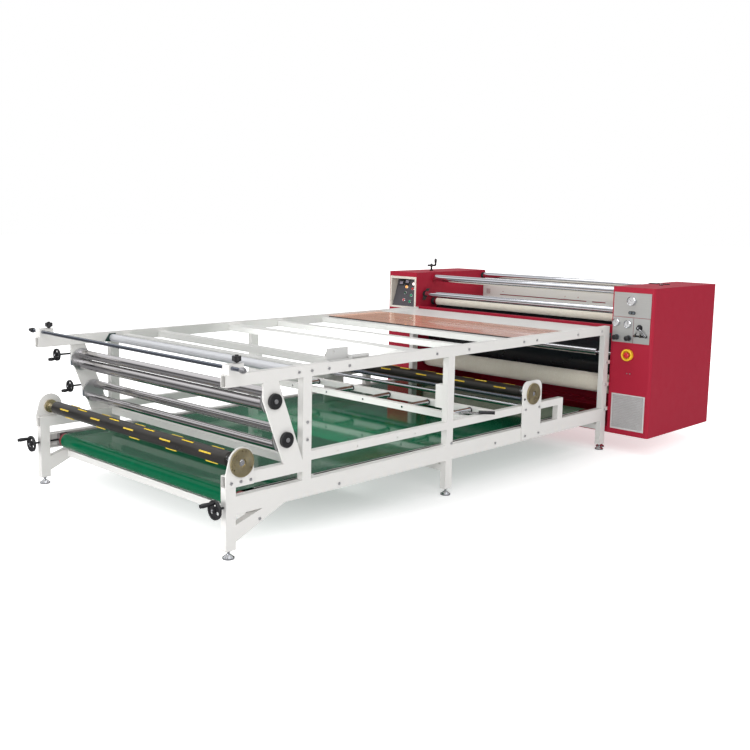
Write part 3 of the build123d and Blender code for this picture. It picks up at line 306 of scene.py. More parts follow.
def felt_material():
    """Needled aramid felt: warm white, fibrous, with faint machine-direction tracks."""
    t = Tree("felt")
    fibre = t.noise(650, (1.0, 0.35, 0.35), detail=5, rough=0.7)
    tuft = t.noise(120, detail=4)
    track = t.noise(26, (1, 0.02, 0.02), detail=3)
    tone = t.mix(tuft, (0.74, 0.68, 0.56), (0.93, 0.90, 0.80))
    tone = t.mix(t.fit(track, 0.4, 0.65, 0.0, 0.25), tone, (0.78, 0.70, 0.57))
    height = t.calc("ADD", fibre, t.calc("MULTIPLY", tuft, 0.6))
    return t.set(
        Base_Color=tone,
        Roughness=0.95,
        Sheen_Weight=0.4,
        Sheen_Roughness=0.5,
        Normal=t.bump(height, 0.55, 0.0012),
    )


def drum_material():
    """Black non-stick coating of the heated drum, polished where the cloth runs."""
    t = Tree("drum_black")
    band = t.noise(3, detail=4)
    tone = t.mix(band, (0.005, 0.006, 0.009), (0.012, 0.014, 0.019))
    return t.set(
        Base_Color=tone,
        Roughness=t.fit(band, 0.35, 0.7, 0.24, 0.32),
        Normal=t.bump(t.noise(1200, detail=2), 0.08, 0.0002),
    )


def red_rubber_material():
    """Dark red rubber lagging of the belt rollers, ground smooth."""
    t = Tree("red_rubber")
    grind = t.noise(900, (1, 0.03, 0.03), detail=2)
    dust = t.noise(20, detail=5)
    tone = t.mix(dust, (0.14, 0.016, 0.020), (0.24, 0.035, 0.038))
    return t.set(
        Base_Color=tone,
        Roughness=t.fit(dust, 0.3, 0.7, 0.38, 0.55),
        Normal=t.bump(grind, 0.15, 0.0003, t.soft_edges(0.001)),
    )


def panel_material(name, colour):
    """Brushed instrument plate, grain across its width."""
    t = Tree(name)
    lines = t.noise(500, (0.02, 1, 1), detail=3)
    cloud = t.noise(6, detail=4)
    tone = t.mix(lines, shade(colour, 0.85), shade(colour, 1.1))
    return t.set(
        Base_Color=tone,
        Metallic=0.55,
        Roughness=t.fit(cloud, 0.3, 0.7, 0.34, 0.48),
        Normal=t.bump(lines, 0.08, 0.0002, t.soft_edges(0.0008)),
    )


def roller_material():
    """Extruded aluminium roller with thin bluish lines along its length."""
    t = Tree("aluminium")
    low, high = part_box("top_front_roller")
    x, y, z = t.xyz()
    aside = t.calc("SUBTRACT", y, (low[1] + high[1]) / 2)
    above = t.calc("SUBTRACT", z, (low[2] + high[2]) / 2)
    turn = t.calc("ARCTAN2", above, aside)
    wave = t.calc("ABSOLUTE", t.calc("SINE", t.calc("ADD", t.calc("MULTIPLY", turn, 1.5), 0.62)))
    line = t.fit(wave, 0.015, 0.045, 1.0, 0.0)
    smudge = t.noise(1.2, (0.2, 1, 1), detail=2)
    tone = t.mix(smudge, (0.66, 0.67, 0.69), (0.70, 0.71, 0.74))
    tone = t.mix(line, tone, (0.16, 0.14, 0.32))
    return t.set(Base_Color=tone, Metallic=0.55, Roughness=t.fit(smudge, 0.3, 0.7, 0.30, 0.34))


ALUMINIUM = roller_material()
ZINC = zinc_material()
SHAFT = shaft_material()
COPPER = copper_material()
BELT = belt_material()
FELT = felt_material()
DRUM = drum_material()
RED_RUBBER = red_rubber_material()
PANEL = panel_material("grey_panel", (0.43, 0.43, 0.42))
CONSOLE_FACE = painted("console_face", (0.075, 0.070, 0.080), rough=0.45, worn=(0.2, 0.2, 0.2))
CREAM = painted("console_cream", (0.72, 0.67, 0.60), rough=0.42)


def lit(name, colour, strength):
    """A lamp lens: tinted plastic glowing from inside, its glow flecked by fine noise."""
    t = Tree(name)
    ring = t.fit(t.noise(900, detail=1), 0.3, 0.7, 0.8, 1.1)
    glow = t.calc("MULTIPLY", ring, strength)
    return t.set(
        Base_Color=colour,
        Roughness=0.25,
        Emission_Color=colour,
        Emission_Strength=glow,
        Coat_Weight=0.4,
    )


def glass_material():
    """Clear cover glass: see-through, reflecting more towards its rim."""
    t = Tree("cover_glass")
    out = next(n for n in t.tree.nodes if n.type == "OUTPUT_MATERIAL")
    clear = t.add("ShaderNodeBsdfTransparent")
    gloss = t.add("ShaderNodeBsdfGlossy")
    t.join(t.fit(t.noise(40), 0.3, 0.7, 0.02, 0.06), gloss.inputs["Roughness"])
    blend = t.add("ShaderNodeMixShader")
    facing = t.add("ShaderNodeLayerWeight")
    facing.inputs["Blend"].default_value = 0.25
    t.join(t.fit(facing.outputs["Facing"], 0.0, 1.0, 0.06, 0.6), blend.inputs[0])
    t.join(clear.outputs[0], blend.inputs[1])
    t.join(gloss.outputs[0], blend.inputs[2])
    t.join(blend.outputs[0], out.inputs[0])
    return t.material


def dial_material():
    """Printed dial: white enamel, faintly mottled and grained."""
    t = Tree("dial_white")
    tone = t.mix(t.noise(60), (0.56, 0.56, 0.57), (0.63, 0.63, 0.64))
    return t.set(Base_Color=tone, Roughness=0.45, Normal=t.bump(t.noise(2500), 0.05, 0.0001))


LAMP_WHITE = lit("lamp_white", (0.95, 0.80, 0.78), 1.3)
LAMP_ORANGE = lit("lamp_orange", (0.90, 0.38, 0.10), 0.9)
SCREEN = moulded("display_screen", (0.30, 0.27, 0.34), rough=0.25, grain=0.02, coat=0.4)
GLASS = glass_material()
DIAL = dial_material()

# ---- Finishes of the CAD nodes ----------------------------------------------------------------------
PLAIN = {
    WHITE: "side_frame_left side_frame_right rod_blocks",
    WHITE_SHEET: "top_cross_bars rear_slotted_panel",
    RED: "press_frame left_cabinet",
    CHROME: "slide_bars upper_guide_roller feed_guide_roller outfeed_guide_roller"
    " inner_guide_roller upper_felt_roller levelling_feet",
    STEEL: "takeup_blocks heating_element lower_felt_roller"
    " rear_top_felt_roller rear_bottom_felt_roller",
    ALUMINIUM: "top_front_roller",
    BRACKET_GREY: "edge_guide_bracket",
    BLUED: "rear_guide_roller",
    BELT: "conveyor_belt",
    FELT: "felt_blanket",
    DRUM: "heated_drum",
    RED_RUBBER: "belt_front_roller belt_rear_roller",
    YELLOW: "front_shaft_keys rear_shaft_keys",
    BLACK: "left_rod_knob right_rod_knob left_regulator_knob right_regulator_knob top_handwheel"
    " upper_handwheel lower_handwheel left_takeup_handwheel right_takeup_handwheel",
    BOLT_STEEL: "frame_bolts",
    CAST: "drive_gearmotor worm_gearboxes",
    RED_PLASTIC: "stop_button estop_button",
    GREEN_PLASTIC: "start_button feed_button",
    GRILLE: "louvre_grille",
}

# Places on the sloped face of the console and on the instrument plates, as (x, z)
SLOPE_FOOT = (1.339, 0.893)
SLOPE_HEAD = (1.418, 1.127)
LAMP_AT = {"white": (-1.020, 1.080), "orange": (-1.092, 1.052)}
SWITCH_AT = {"selector": (-1.092, 1.002), "key": (-1.092, 0.942)}
BUTTON_AT = {"stop": (-1.020, 1.040), "start": (-1.020, 0.984), "feed": (-1.020, 0.932)}
DISPLAY_AT = ((-1.165, 1.085), (-1.100, 1.097))
PLATE_FRONT = PRESS_FRONT - 0.003
GAUGES = ((1.080, 1.090, 0.032), (0.968, 0.932, 0.027), (1.059, 0.925, 0.027))
SOCKETS = ((1.116, 0.846), (1.158, 0.846), (1.200, 0.846))
OVAL = (1.085, 1.006)
VALVE = (1.149, 0.905)
REGULATORS = {"left_regulator": (0.974, 0.826), "right_regulator": (1.069, 0.826)}
ESTOP = (1.068, 0.705)
CABINET_TOP = 1.185

# Where one finish gives way to the next along X, to either side of the middle
SHAFT_TUBE = 0.846
BAR_DISC = 0.8985
BAR_CAP = 0.9268
LINK_FLANGE = 0.9295
HAND_DISC = 0.9325
ROD_TIP = 1.0015
TABLE_END = FRONT + 3.4
TIE_BAR = (FRONT + 2.420, 0.444)


def dress(name, *rules):
    """Gives a CAD node its materials: each rule is (material, test of a face's centre and normal)."""
    node = NODES[name]
    node.data.materials.clear()
    for material, _ in rules:
        node.data.materials.append(material)
    for face in node.data.polygons:
        face.material_index = next(i for i, (_, test) in enumerate(rules) if test(face.center, face.normal))


def always(centre, normal):
    return True


def beyond(x):
    """Faces further out than x on either side."""
    return lambda centre, normal: abs(centre.x) > x


def near(spots, radius):
    """Faces within a radius of any of the (x, z) spots, seen from the front."""
    return lambda centre, normal: any(math.hypot(centre.x - x, centre.z - z) < radius for x, z in spots)


def dress_nodes():
    """Every CAD node's finish, face by face where one piece has several."""
    for material, names in PLAIN.items():
        for name in names.split():
            dress(name, (material, always))
    for name in ("front_air_shaft", "rear_air_shaft"):
        low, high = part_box(name)
        axis_y, axis_z = (low[1] + high[1]) / 2, (low[2] + high[2]) / 2

        def journal(centre, normal):
            return math.hypot(centre.y - axis_y, centre.z - axis_z) < 0.016

        ends = ((CHROME, journal), (ZINC, beyond(HAND_DISC)), (CHROME, beyond(SHAFT_TUBE)))
        dress(name, *ends, (SHAFT, always))
    for name in ("upper_tension_bars", "lower_tension_bars"):
        dress(name, (BLACK, lambda c, n: c.x > BAR_CAP), (STEEL, beyond(BAR_DISC)), (CHROME_DARK, always))
    dress(
        "guide_rod",
        (STEEL, lambda c, n: c.x > ROD_TIP),
        (BLACK_METAL, lambda c, n: c.x < -ROD_TIP),
        (BLUED, always),
    )
    dress("slide_panel", (BLACK_METAL, lambda c, n: abs(n.y) > 0.5), (COPPER, always))
    dress(
        "bearing_plates",
        (RED, lambda c, n: c.y > TABLE_END and abs(c.x) > LINK_FLANGE),
        (WHITE, always),
    )
    feed_y = sum(corner[1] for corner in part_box("feed_guide_roller")) / 2
    feed_z = sum(corner[2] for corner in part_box("feed_guide_roller")) / 2

    def feed_flange(centre, normal):
        return math.hypot(centre.y - feed_y, centre.z - feed_z) < 0.03

    dress(
        "shaft_bearings",
        (RED, feed_flange),
        (GREEN_METAL, lambda c, n: c.y < FRONT + 0.6 and c.z > 0.8),
        (ZINC, lambda c, n: c.y < TABLE_END and c.z > 0.35),
        (STEEL, lambda c, n: c.y < TABLE_END),
        (BLACK_METAL, always),
    )

    def tie_bar(centre, normal):
        return math.hypot(centre.y - TIE_BAR[0], centre.z - TIE_BAR[1]) < 0.016

    dress("lower_cross_beams", (CHROME, tie_bar), (WHITE, always))
    dress("clamp_lever", (BLACK, lambda c, n: c.x > 0.905), (STEEL, always))
    hub = near([VALVE], 0.0165)
    dress("valve_lever", (BLACK, lambda c, n: hub(c, n) or c.y > PLATE_FRONT), (CHROME, always))
    dress(
        "right_cabinet",
        (CHROME, lambda c, n: c.z > CABINET_TOP + 0.0071),
        (BLACK_METAL, lambda c, n: c.z > CABINET_TOP + 0.0005),
        (STEEL, lambda c, n: c.y < PRESS_FRONT - 0.001),
        (RED, always),
    )
    dress(
        "instrument_panel",
        (SHROUD, near([ESTOP], 0.0425)),
        (CHROME, near([(x, z) for x, z, _ in GAUGES], 0.0325)),
        (BLACK, near([*SOCKETS, VALVE, *REGULATORS.values()], 0.0225)),
        (BLACK, lambda c, n: abs(c.x - OVAL[0]) < 0.0275 and abs(c.z - OVAL[1]) < 0.0125),
        (PANEL, always),
    )
    dress(
        "control_console",
        (CHROME_DARK, near([*LAMP_AT.values(), *SWITCH_AT.values(), *BUTTON_AT.values()], 0.0165)),
        (BLACK, near(DISPLAY_AT, 0.034)),
        (CONSOLE_FACE, lambda c, n: abs(n.x) < 0.3 and n.z > 0.2 and n.y < -0.5),
        (CREAM, always),
    )


# ---- Mesh helpers ----------------------------------------------------------------------------------
def make(name, points, faces, material, body, crease=35.0):
    """A mesh piece that rides on a body: smooth, with its edges kept sharp above an angle."""
    mesh = bpy.data.meshes.new(name)
    mesh.from_pydata(points, [], faces)
    mesh.validate()
    mesh.materials.append(material)
    piece = bpy.data.objects.new(name, mesh)
    bpy.context.scene.collection.objects.link(piece)
    mesh.shade_smooth()
    mesh.set_sharp_from_angle(angle=math.radians(crease))
    if body:
        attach(piece, body)
    return piece


def axes_about(axis):
    """Two directions square to an axis and to each other."""
    w = Vector(axis).normalized()
    u = w.orthogonal().normalized()
    return w, u, w.cross(u)


def lathe(name, profile, origin, axis, material, body, steps=40, crease=35.0):
    """Turns a profile of (radius, height) points about an axis; a radius of 0 closes to a point."""
    w, u, v = axes_about(axis)
    points, rings, faces = [], [], []
    for radius, height in profile:
        centre = Vector(origin) + w * height
        count = steps if radius > 0 else 1
        rings.append(range(len(points), len(points) + count))
        for step in range(count):
            angle = TAU * step / steps
            points.append(centre + (u * math.cos(angle) + v * math.sin(angle)) * radius)
    for lower, upper in zip(rings, rings[1:]):
        for step in range(steps):
            after = (step + 1) % steps
            corners = [lower[step % len(lower)], lower[after % len(lower)]]
            corners += [upper[after % len(upper)], upper[step % len(upper)]]
            faces.append(list(dict.fromkeys(corners)))
    return make(name, points, faces, material, body, crease)


def dome(radius, low, rise, steps=6):
    """A profile from the rim of a shallow dome to its crown."""
    turns = [math.pi / 2 * step / steps for step in range(steps + 1)]
    crown = math.pi / 2 - 0.01
    return [(radius * math.cos(a) if a < crown else 0.0, low + rise * math.sin(a)) for a in turns]


def ring_profile(middle, half_width, half_height, height, steps=16):
    """A closed rounded ring section, for a rim or a bezel."""
    turns = [TAU * step / steps for step in range(steps + 1)]
    return [(middle + half_width * math.cos(a), height + half_height * math.sin(a)) for a in turns]


# ---- Endless bands ----------------------------------------------------------------------------------
def roller_circle(name, turn=-1):
    """A roller's (y, z, radius, turn) from its node; turn is -1 where the band runs clockwise round it."""
    low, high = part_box(name)
    return ((low[1] + high[1]) / 2, (low[2] + high[2]) / 2, (high[2] - low[2]) / 2, turn)


def band_path(circles, lift, arc_step, run_step):
    """Samples (y, z, normal y, normal z) along a closed path of tangent runs and arcs."""
    runs = []
    rounds = [(y, z, radius + lift, turn) for y, z, radius, turn in circles]
    for first, second in zip(rounds, rounds[1:] + rounds[:1]):
        dy, dz = second[0] - first[0], second[1] - first[1]
        reach = second[3] * second[2] - first[3] * first[2]
        heading = math.atan2(dz, dy) - math.asin(reach / math.hypot(dy, dz))
        normal = (-math.sin(heading), math.cos(heading))
        ends = [(y - turn * r * normal[0], z - turn * r * normal[1]) for y, z, r, turn in (first, second)]
        runs.append((ends, normal))
    samples = []
    for index, (y, z, radius, turn) in enumerate(rounds):
        arrive, leave = runs[index - 1][0][1], runs[index][0][0]
        start = math.atan2(arrive[1] - z, arrive[0] - y)
        sweep = (math.atan2(leave[1] - z, leave[0] - y) - start) % TAU
        if turn < 0:
            sweep -= TAU
        count = max(2, math.ceil(abs(sweep) / arc_step))
        for step in range(count):
            angle = start + sweep * step / count
            cy, cz = math.cos(angle), math.sin(angle)
            samples.append((y + radius * cy, z + radius * cz, -turn * cy, -turn * cz))
        (a, b), normal = runs[index]
        count = max(1, math.ceil(math.dist(a, b) / run_step))
        for step in range(count):
            share = step / count
            samples.append((a[0] + (b[0] - a[0]) * share, a[1] + (b[1] - a[1]) * share, *normal))
    return samples


def sweep_band(name, samples, half_width, thickness, columns, ripple, selvedge, material, body=None):
    """Sweeps a band's section along its path: rounded edges, a rippled face and a wavering selvedge."""
    half = thickness / 2
    inset = [0.0, half * 0.25, half * 0.8]
    inner = [half * 1.6 + (2 * half_width - half * 3.2) * step / columns for step in range(columns + 1)]
    offsets = inset + inner + [2 * half_width - d for d in reversed(inset)]
    section = []
    for side in (1, -1):
        for distance in offsets if side > 0 else reversed(offsets[1:-1]):
            edge = min(distance, 2 * half_width - distance)
            rise = half * math.sqrt(max(0.0, 1 - (1 - min(edge, half) / half) ** 2))
            section.append((distance - half_width, side * rise))
    points, faces = [], []
    for y, z, ny, nz in samples:
        waver = selvedge * noise.noise(Vector((y * 3.1, z * 3.1, 4.0)))
        for x, rise in section:
            wave = ripple * noise.noise(Vector((x * 9.0, y * 9.0, z * 9.0)))
            shift = rise + (wave if abs(x) < half_width - thickness else 0.0)
            points.append((x + waver * abs(x) / half_width, y + ny * shift, z + nz * shift))
    across, along = len(section), len(samples)
    for row in range(along):
        after = (row + 1) % along
        for column in range(across):
            beside = (column + 1) % across
            corners = (row * across + column, row * across + beside)
            faces.append((*corners, after * across + beside, after * across + column))
    return make(name, points, faces, material, body, crease=60.0)


def conveyor_belt():
    """The green belt, swept round its two rollers."""
    gap, thickness, half_width = 0.0003, 0.0028, 0.840
    rear, front = roller_circle("belt_rear_roller"), roller_circle("belt_front_roller")
    samples = band_path([rear, front], gap + thickness / 2, 0.12, 0.05)
    belt = sweep_band("belt_band", samples, half_width, thickness, 40, 0.00006, 0.0006, BELT)
    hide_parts("conveyor_belt")
    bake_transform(belt)


def felt_blanket():
    """The endless felt: thick, with a soft nap and slightly uneven selvedges."""
    gap, thickness, half_width = 0.0003, 0.0076, 0.880
    names = ("upper_felt_roller", "rear_top_felt_roller", "rear_bottom_felt_roller", "lower_felt_roller")
    circles = [roller_circle(name) for name in names] + [roller_circle("heated_drum", 1)]
    samples = band_path(circles, gap + thickness / 2, 0.07, 0.022)
    felt = sweep_band(
        "felt_band", samples, half_width, thickness, 90, 0.0003, 0.0015, FELT, "machine"
    )
    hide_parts("felt_blanket")


# ---- Handwheels and caps ------------------------------------------------------------------------------
def handwheel_trim(node, body, axis, grip_top, grip_offset):
    """A rounded rim, a domed hub with a bright nut and a turned grip over a CAD handwheel."""
    low, high = (Vector(corner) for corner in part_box(node))
    outward = Vector(axis)
    middle = (low + high) / 2
    if outward.z:
        radius = (high.y - low.y) / 2
        face = Vector((middle.x, middle.y, high.z - grip_top))
        face.x = low.x + radius
    else:
        radius = (high.z - low.z) / 2
        face = Vector((middle.x, low.y + grip_top, middle.z))
    rim = ring_profile(radius - 0.0042, 0.0050, 0.0070, 0.006)
    lathe(f"{node}_rim", rim, face, axis, BLACK, body)
    hub = [(0.0, 0.0), (radius * 0.30, 0.0), (radius * 0.29, 0.010), (radius * 0.22, 0.0185), (0.0, 0.0195)]
    lathe(f"{node}_hub", hub, face, axis, BLACK, body)
    nut = [(radius * 0.15, 0.016), (radius * 0.15, 0.0225), (radius * 0.11, 0.0245), (0.0, 0.025)]
    lathe(f"{node}_nut", nut, face, axis, CHROME, body, steps=6, crease=20)
    spot = face + Vector(grip_offset)
    length = grip_top - 0.002
    grip = [(0.0045, 0.010), (0.0085, 0.0125), (0.0078, 0.022)]
    for share in (0.25, 0.5, 0.75, 1.0):
        grip.append((0.0078 + 0.0036 * math.sin(math.pi / 2 * share), 0.022 + (length - 0.034) * share))
    grip += [(0.0095, length - 0.005), (0.0055, length - 0.0008), (0.0, length)]
    lathe(f"{node}_grip", grip, spot, axis, BLACK, body, steps=28)
    ferrule = [(0.0, 0.0115), (0.0062, 0.0115), (0.0062, 0.004), (0.0095, 0.002), (0.0, 0.0015)]
    lathe(f"{node}_ferrule", ferrule, spot, axis, CHROME, body, steps=24)


def handwheels():
    wheels = (
        ("left_takeup_handwheel", "left_takeup_wheel", (0, -1, 0), 0.090, (0, 0, 0.034)),
        ("right_takeup_handwheel", "right_takeup_wheel", (0, -1, 0), 0.090, (0, 0, 0.034)),
        ("upper_handwheel", "upper_wheel", (0, -1, 0), 0.060, (0, 0, -0.025)),
        ("lower_handwheel", "lower_wheel", (0, -1, 0), 0.060, (0, 0, -0.025)),
        ("top_handwheel", "top_wheel", (0, 0, 1), 0.066, (0.026, 0.024, 0)),
    )
    for wheel in wheels:
        handwheel_trim(*wheel)


def tension_caps():
    """Ringed black caps with a bright screw, on the right ends of the tension bars."""
    pivots = {"upper_tension": (FRONT + 0.296, 0.742), "lower_tension": (FRONT + 0.374, 0.538)}
    for body, (y, z) in pivots.items():
        spot = (0.942, y, z)
        rings = [(0.0398, -0.001), (0.0398, 0.0006), (0.0385, 0.0016), (0.034, 0.0016), (0.0335, 0.0004)]
        rings += [(0.0310, 0.0004), (0.0305, 0.0018), (0.0240, 0.0018), (0.0235, 0.0004), (0.0205, 0.0004)]
        rings += [(0.0200, 0.0022), (0.0145, 0.0022), (0.0140, 0.0010), (0.0, 0.0010)]
        lathe(f"{body}_cap", rings, spot, (1, 0, 0), BLACK, body, steps=56, crease=25)
        screw = [(0.0115, 0.0008), (0.0115, 0.0042), (0.0105, 0.0052)]
        screw += [(0.0052, 0.0052), (0.0050, 0.0022), (0.0, 0.0022)]
        lathe(f"{body}_screw", screw, spot, (1, 0, 0), STEEL, body, steps=36)


def slide_bar_rings():
    """A black rubber ring at the rear end of each bar of the ladder."""
    place = FRONT + 2.132
    level = 0.428
    ring = ring_profile(0.0165, 0.0030, 0.0045, 0.0, steps=10)
    for index, x in enumerate((-0.710, -0.355, 0.0, 0.355, 0.710)):
        name = f"slide_bar_ring_{index}"
        lathe(name, ring, (x, place, level), (0, 1, 0), BLACK, "machine", steps=32)


def shaft_valves():
    """The air valve in each end of the winding shafts."""
    for body, node in (("front_shaft", "front_air_shaft"), ("rear_shaft", "rear_air_shaft")):
        low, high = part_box(node)
        for hand, end in ((1, high[0]), (-1, low[0])):
            spot = (end - hand * 0.002, (low[1] + high[1]) / 2, (low[2] + high[2]) / 2)
            stem = [(0.0037, -0.008), (0.0037, -0.0015), (0.0050, -0.001), (0.0050, 0.0006)]
            stem += [(0.0026, 0.0008), (0.0026, 0.0015), (0.0012, 0.0016), (0.0010, 0.0004), (0.0, 0.0004)]
            name = f"{body}_{'right' if hand > 0 else 'left'}_valve"
            lathe(name, stem, spot, (hand, 0, 0), STEEL, body, steps=20, crease=25)


# ---- Console and instruments --------------------------------------------------------------------------
SLOPE_RUN = Vector((0, SLOPE_HEAD[0] - SLOPE_FOOT[0], SLOPE_HEAD[1] - SLOPE_FOOT[1])).normalized()
SLOPE_OUT = Vector((0, -SLOPE_RUN.z, SLOPE_RUN.y))


def on_slope(x, z, lift=0.0):
    """A point on the console's sloped face, lifted towards the operator."""
    along = (z - SLOPE_FOOT[1]) / (SLOPE_HEAD[1] - SLOPE_FOOT[1])
    return Vector((x, SLOPE_FOOT[0] + along * (SLOPE_HEAD[0] - SLOPE_FOOT[0]), z)) + SLOPE_OUT * lift


def slope_piece(name, profile, spot, material, body="machine", steps=36):
    """A turned piece standing square on the console's sloped face."""
    lathe(name, profile, on_slope(*spot), SLOPE_OUT, material, body, steps=steps)


def console_trim():
    """Lenses, caps, bezels and screens of the console."""
    for name, spot in (LAMP_AT | SWITCH_AT | BUTTON_AT).items():
        bezel = ring_profile(0.0132, 0.0020, 0.0016, 0.0052, steps=10)
        slope_piece(f"console_{name}_bezel", bezel, spot, CHROME)
    for name, material in (("white", LAMP_WHITE), ("orange", LAMP_ORANGE)):
        lens = [(0.0111, 0.004), (0.0111, 0.0125)] + dome(0.0108, 0.0128, 0.0040)
        slope_piece(f"console_{name}_lens", lens, LAMP_AT[name], material)
    caps = (("selector", DARK_GREEN, "green_plastic"), ("key", RED_PLASTIC, "red_plastic"))
    for name, material, slot in caps:
        cap = [(0.0092, 0.004), (0.0094, 0.0140)] + dome(0.0088, 0.0145, 0.0022)
        slope_piece(f"console_{name}_cap", cap, SWITCH_AT[name], material, steps=32)
    key = [(0.0050, 0.0160), (0.0050, 0.0178), (0.0042, 0.0184), (0.0, 0.0184)]
    slope_piece("console_key_barrel", key, SWITCH_AT["key"], CHROME, steps=24)
    finishes = {"stop": (RED_PLASTIC, "red_plastic"), "start": (GREEN_PLASTIC, "green_plastic")}
    finishes["feed"] = (GREEN_PLASTIC, "green_plastic")
    for name, (material, slot) in finishes.items():
        cap = [(0.0106, 0.0055), (0.0106, 0.0112)] + dome(0.0100, 0.0116, 0.0020)
        slope_piece(f"{name}_button_cap", cap, BUTTON_AT[name], material, body=name)
    for index, (x, z) in enumerate(DISPLAY_AT):
        spot = on_slope(x, z, 0.0052)
        window(f"console_display_{index}", spot, 0.019, 0.0125)


def window(name, spot, half_x, half_run):
    """A display: a raised screen with rounded edges, on the sloped face."""
    points, faces = [], []
    layers = ((1.0, -0.0004), (1.0, 0.0006), (0.94, 0.0011))
    corners = ((-1, -1), (1, -1), (1, 1), (-1, 1))
    for scale, lift in layers:
        for sx, sr in corners:
            aside = Vector((sx * half_x * scale, 0, 0)) + SLOPE_RUN * (sr * half_run * scale)
            points.append(spot + aside + SLOPE_OUT * lift)
    for layer in range(len(layers) - 1):
        for side in range(4):
            after = (side + 1) % 4
            base = layer * 4
            faces.append((base + side, base + after, base + 4 + after, base + 4 + side))
    faces.append(tuple(range(len(points) - 4, len(points))))
    make(name, points, faces, SCREEN, "machine", crease=20)


def gauge(index, x, z, radius):
    """A pressure gauge: bezel, dial with ticks, needle, hub and glass."""
    out = (0, -1, 0)
    face = Vector((x, PLATE_FRONT - 0.014, z))
    bezel = [(radius - 0.0045, -0.001), (radius - 0.0042, 0.0012), (radius - 0.0025, 0.0030)]
    bezel += [(radius - 0.0008, 0.0026), (radius + 0.0004, 0.0008), (radius + 0.0004, -0.006)]
    lathe(f"gauge_{index}_bezel", bezel, face, out, CHROME, "machine", steps=56)
    dial = 0.0034  # depth of the dial's face behind the bezel's rim
    plate = [(radius - 0.0041, -0.0038), (radius - 0.0046, -dial), (0.0, -dial)]
    lathe(f"gauge_{index}_dial", plate, face, out, DIAL, "machine", steps=48)
    points, faces = [], []

    def bar(angle, inner, outer, half, lift):
        along = Vector((math.sin(angle), 0, math.cos(angle)))
        side = Vector((math.cos(angle), 0, -math.sin(angle)))
        base = len(points)
        for height in (dial - 0.0001, dial - lift):
            for reach, width in ((inner, half), (outer, half * 0.6)):
                for sign in (-1, 1):
                    points.append(face + Vector((0, height, 0)) + along * reach + side * (width * sign))
        faces.append((base + 4, base + 5, base + 7, base + 6))
        for a, b in ((0, 1), (1, 3), (3, 2), (2, 0)):
            faces.append((base + a, base + b, base + 4 + b, base + 4 + a))

    span = math.radians(270)
    ticks = 20
    for step in range(ticks + 1):
        angle = -span / 2 + span * step / ticks
        long_tick = step % 5 == 0
        inner = radius * (0.60 if long_tick else 0.68)
        bar(angle, inner, radius * 0.77, 0.0006 if long_tick else 0.0003, 0.0003)
    bar(math.radians(-60 + 25 * index), -radius * 0.20, radius * 0.62, 0.0010, 0.0014)
    make(f"gauge_{index}_marks", points, faces, BLACK, "machine", crease=20)
    hub = [(0.0030, -0.0032), (0.0028, -0.0012), (0.0, -0.0010)]
    lathe(f"gauge_{index}_hub", hub, face, out, STEEL, "machine", steps=20)
    cover = dome(radius - 0.0043, 0.0, 0.0016)
    lathe(f"gauge_{index}_glass", cover, face, out, GLASS, "machine", steps=48)


def instrument_trim():
    """Gauges, sockets, connector, valve hub, regulator caps and the emergency stop's mushroom."""
    out = (0, -1, 0)
    for index, (x, z, radius) in enumerate(GAUGES):
        gauge(index, x, z, radius)
    for index, (x, z) in enumerate(SOCKETS):
        spot = (x, PLATE_FRONT - 0.008, z)
        collar = [(0.0094, -0.007), (0.0094, 0.0006), (0.0080, 0.0018)]
        collar += [(0.0055, 0.0018), (0.0050, -0.004), (0.0, -0.004)]
        lathe(f"air_socket_{index}", collar, spot, out, BLACK, "machine", steps=32)
        nozzle = [(0.0040, -0.004), (0.0040, 0.0008), (0.0028, 0.0012), (0.0022, -0.002), (0.0, -0.002)]
        lathe(f"air_socket_{index}_nozzle", nozzle, spot, out, ZINC, "machine", steps=24)
    for index, shift in enumerate((-0.0125, 0.0125)):
        spot = (OVAL[0] + shift, PLATE_FRONT - 0.005, OVAL[1])
        port = [(0.0088, -0.001), (0.0088, 0.0012), (0.0070, 0.0018), (0.0058, 0.0004), (0.0, 0.0004)]
        lathe(f"connector_port_{index}", port, spot, out, CAST, "machine", steps=28)
    boss = [(0.0146, -0.018), (0.0150, -0.001), (0.0135, 0.0014), (0.0, 0.0014)]
    spot = (VALVE[0], PLATE_FRONT - 0.026, VALVE[1])
    lathe("valve_hub_cap", boss, spot, out, BLACK, "valve", steps=8, crease=20)
    screw = [(0.0050, 0.0010), (0.0050, 0.0034), (0.0038, 0.0042), (0.0, 0.0042)]
    lathe("valve_hub_screw", screw, spot, out, CHROME, "valve", steps=24)
    for body, (x, z) in REGULATORS.items():
        spot = (x, PLATE_FRONT - 0.040, z)
        top = [(0.0172, -0.003), (0.0168, 0.0006), (0.0140, 0.0020), (0.0, 0.0020)]
        lathe(f"{body}_cap", top, spot, out, BLACK, body, steps=40)
        sleeve = [(0.0206, -0.001), (0.0206, 0.0085), (0.0190, 0.0105), (0.0150, 0.0105)]
        spot = (x, PLATE_FRONT, z)
        lathe(f"{body}_sleeve", sleeve, spot, out, CAST, "machine", steps=40)
    cap = [(0.0060, -0.0010), (0.0195, -0.0010), (0.0202, 0.0030), (0.0200, 0.0100)]
    cap += dome(0.0188, 0.0116, 0.0034)
    spot = (ESTOP[0], PRESS_FRONT - 0.013, ESTOP[1])
    lathe("estop_mushroom", cap, spot, out, RED_PLASTIC, "estop")
    rim = ring_profile(0.0360, 0.0062, 0.0030, 0.0, steps=12)
    spot = (ESTOP[0], PRESS_FRONT - 0.022, ESTOP[1])
    lathe("estop_shroud_rim", rim, spot, out, SHROUD, "machine", steps=48)


dress_nodes()
conveyor_belt()
felt_blanket()
handwheels()
tension_caps()
shaft_valves()
slide_bar_rings()
console_trim()
instrument_trim()


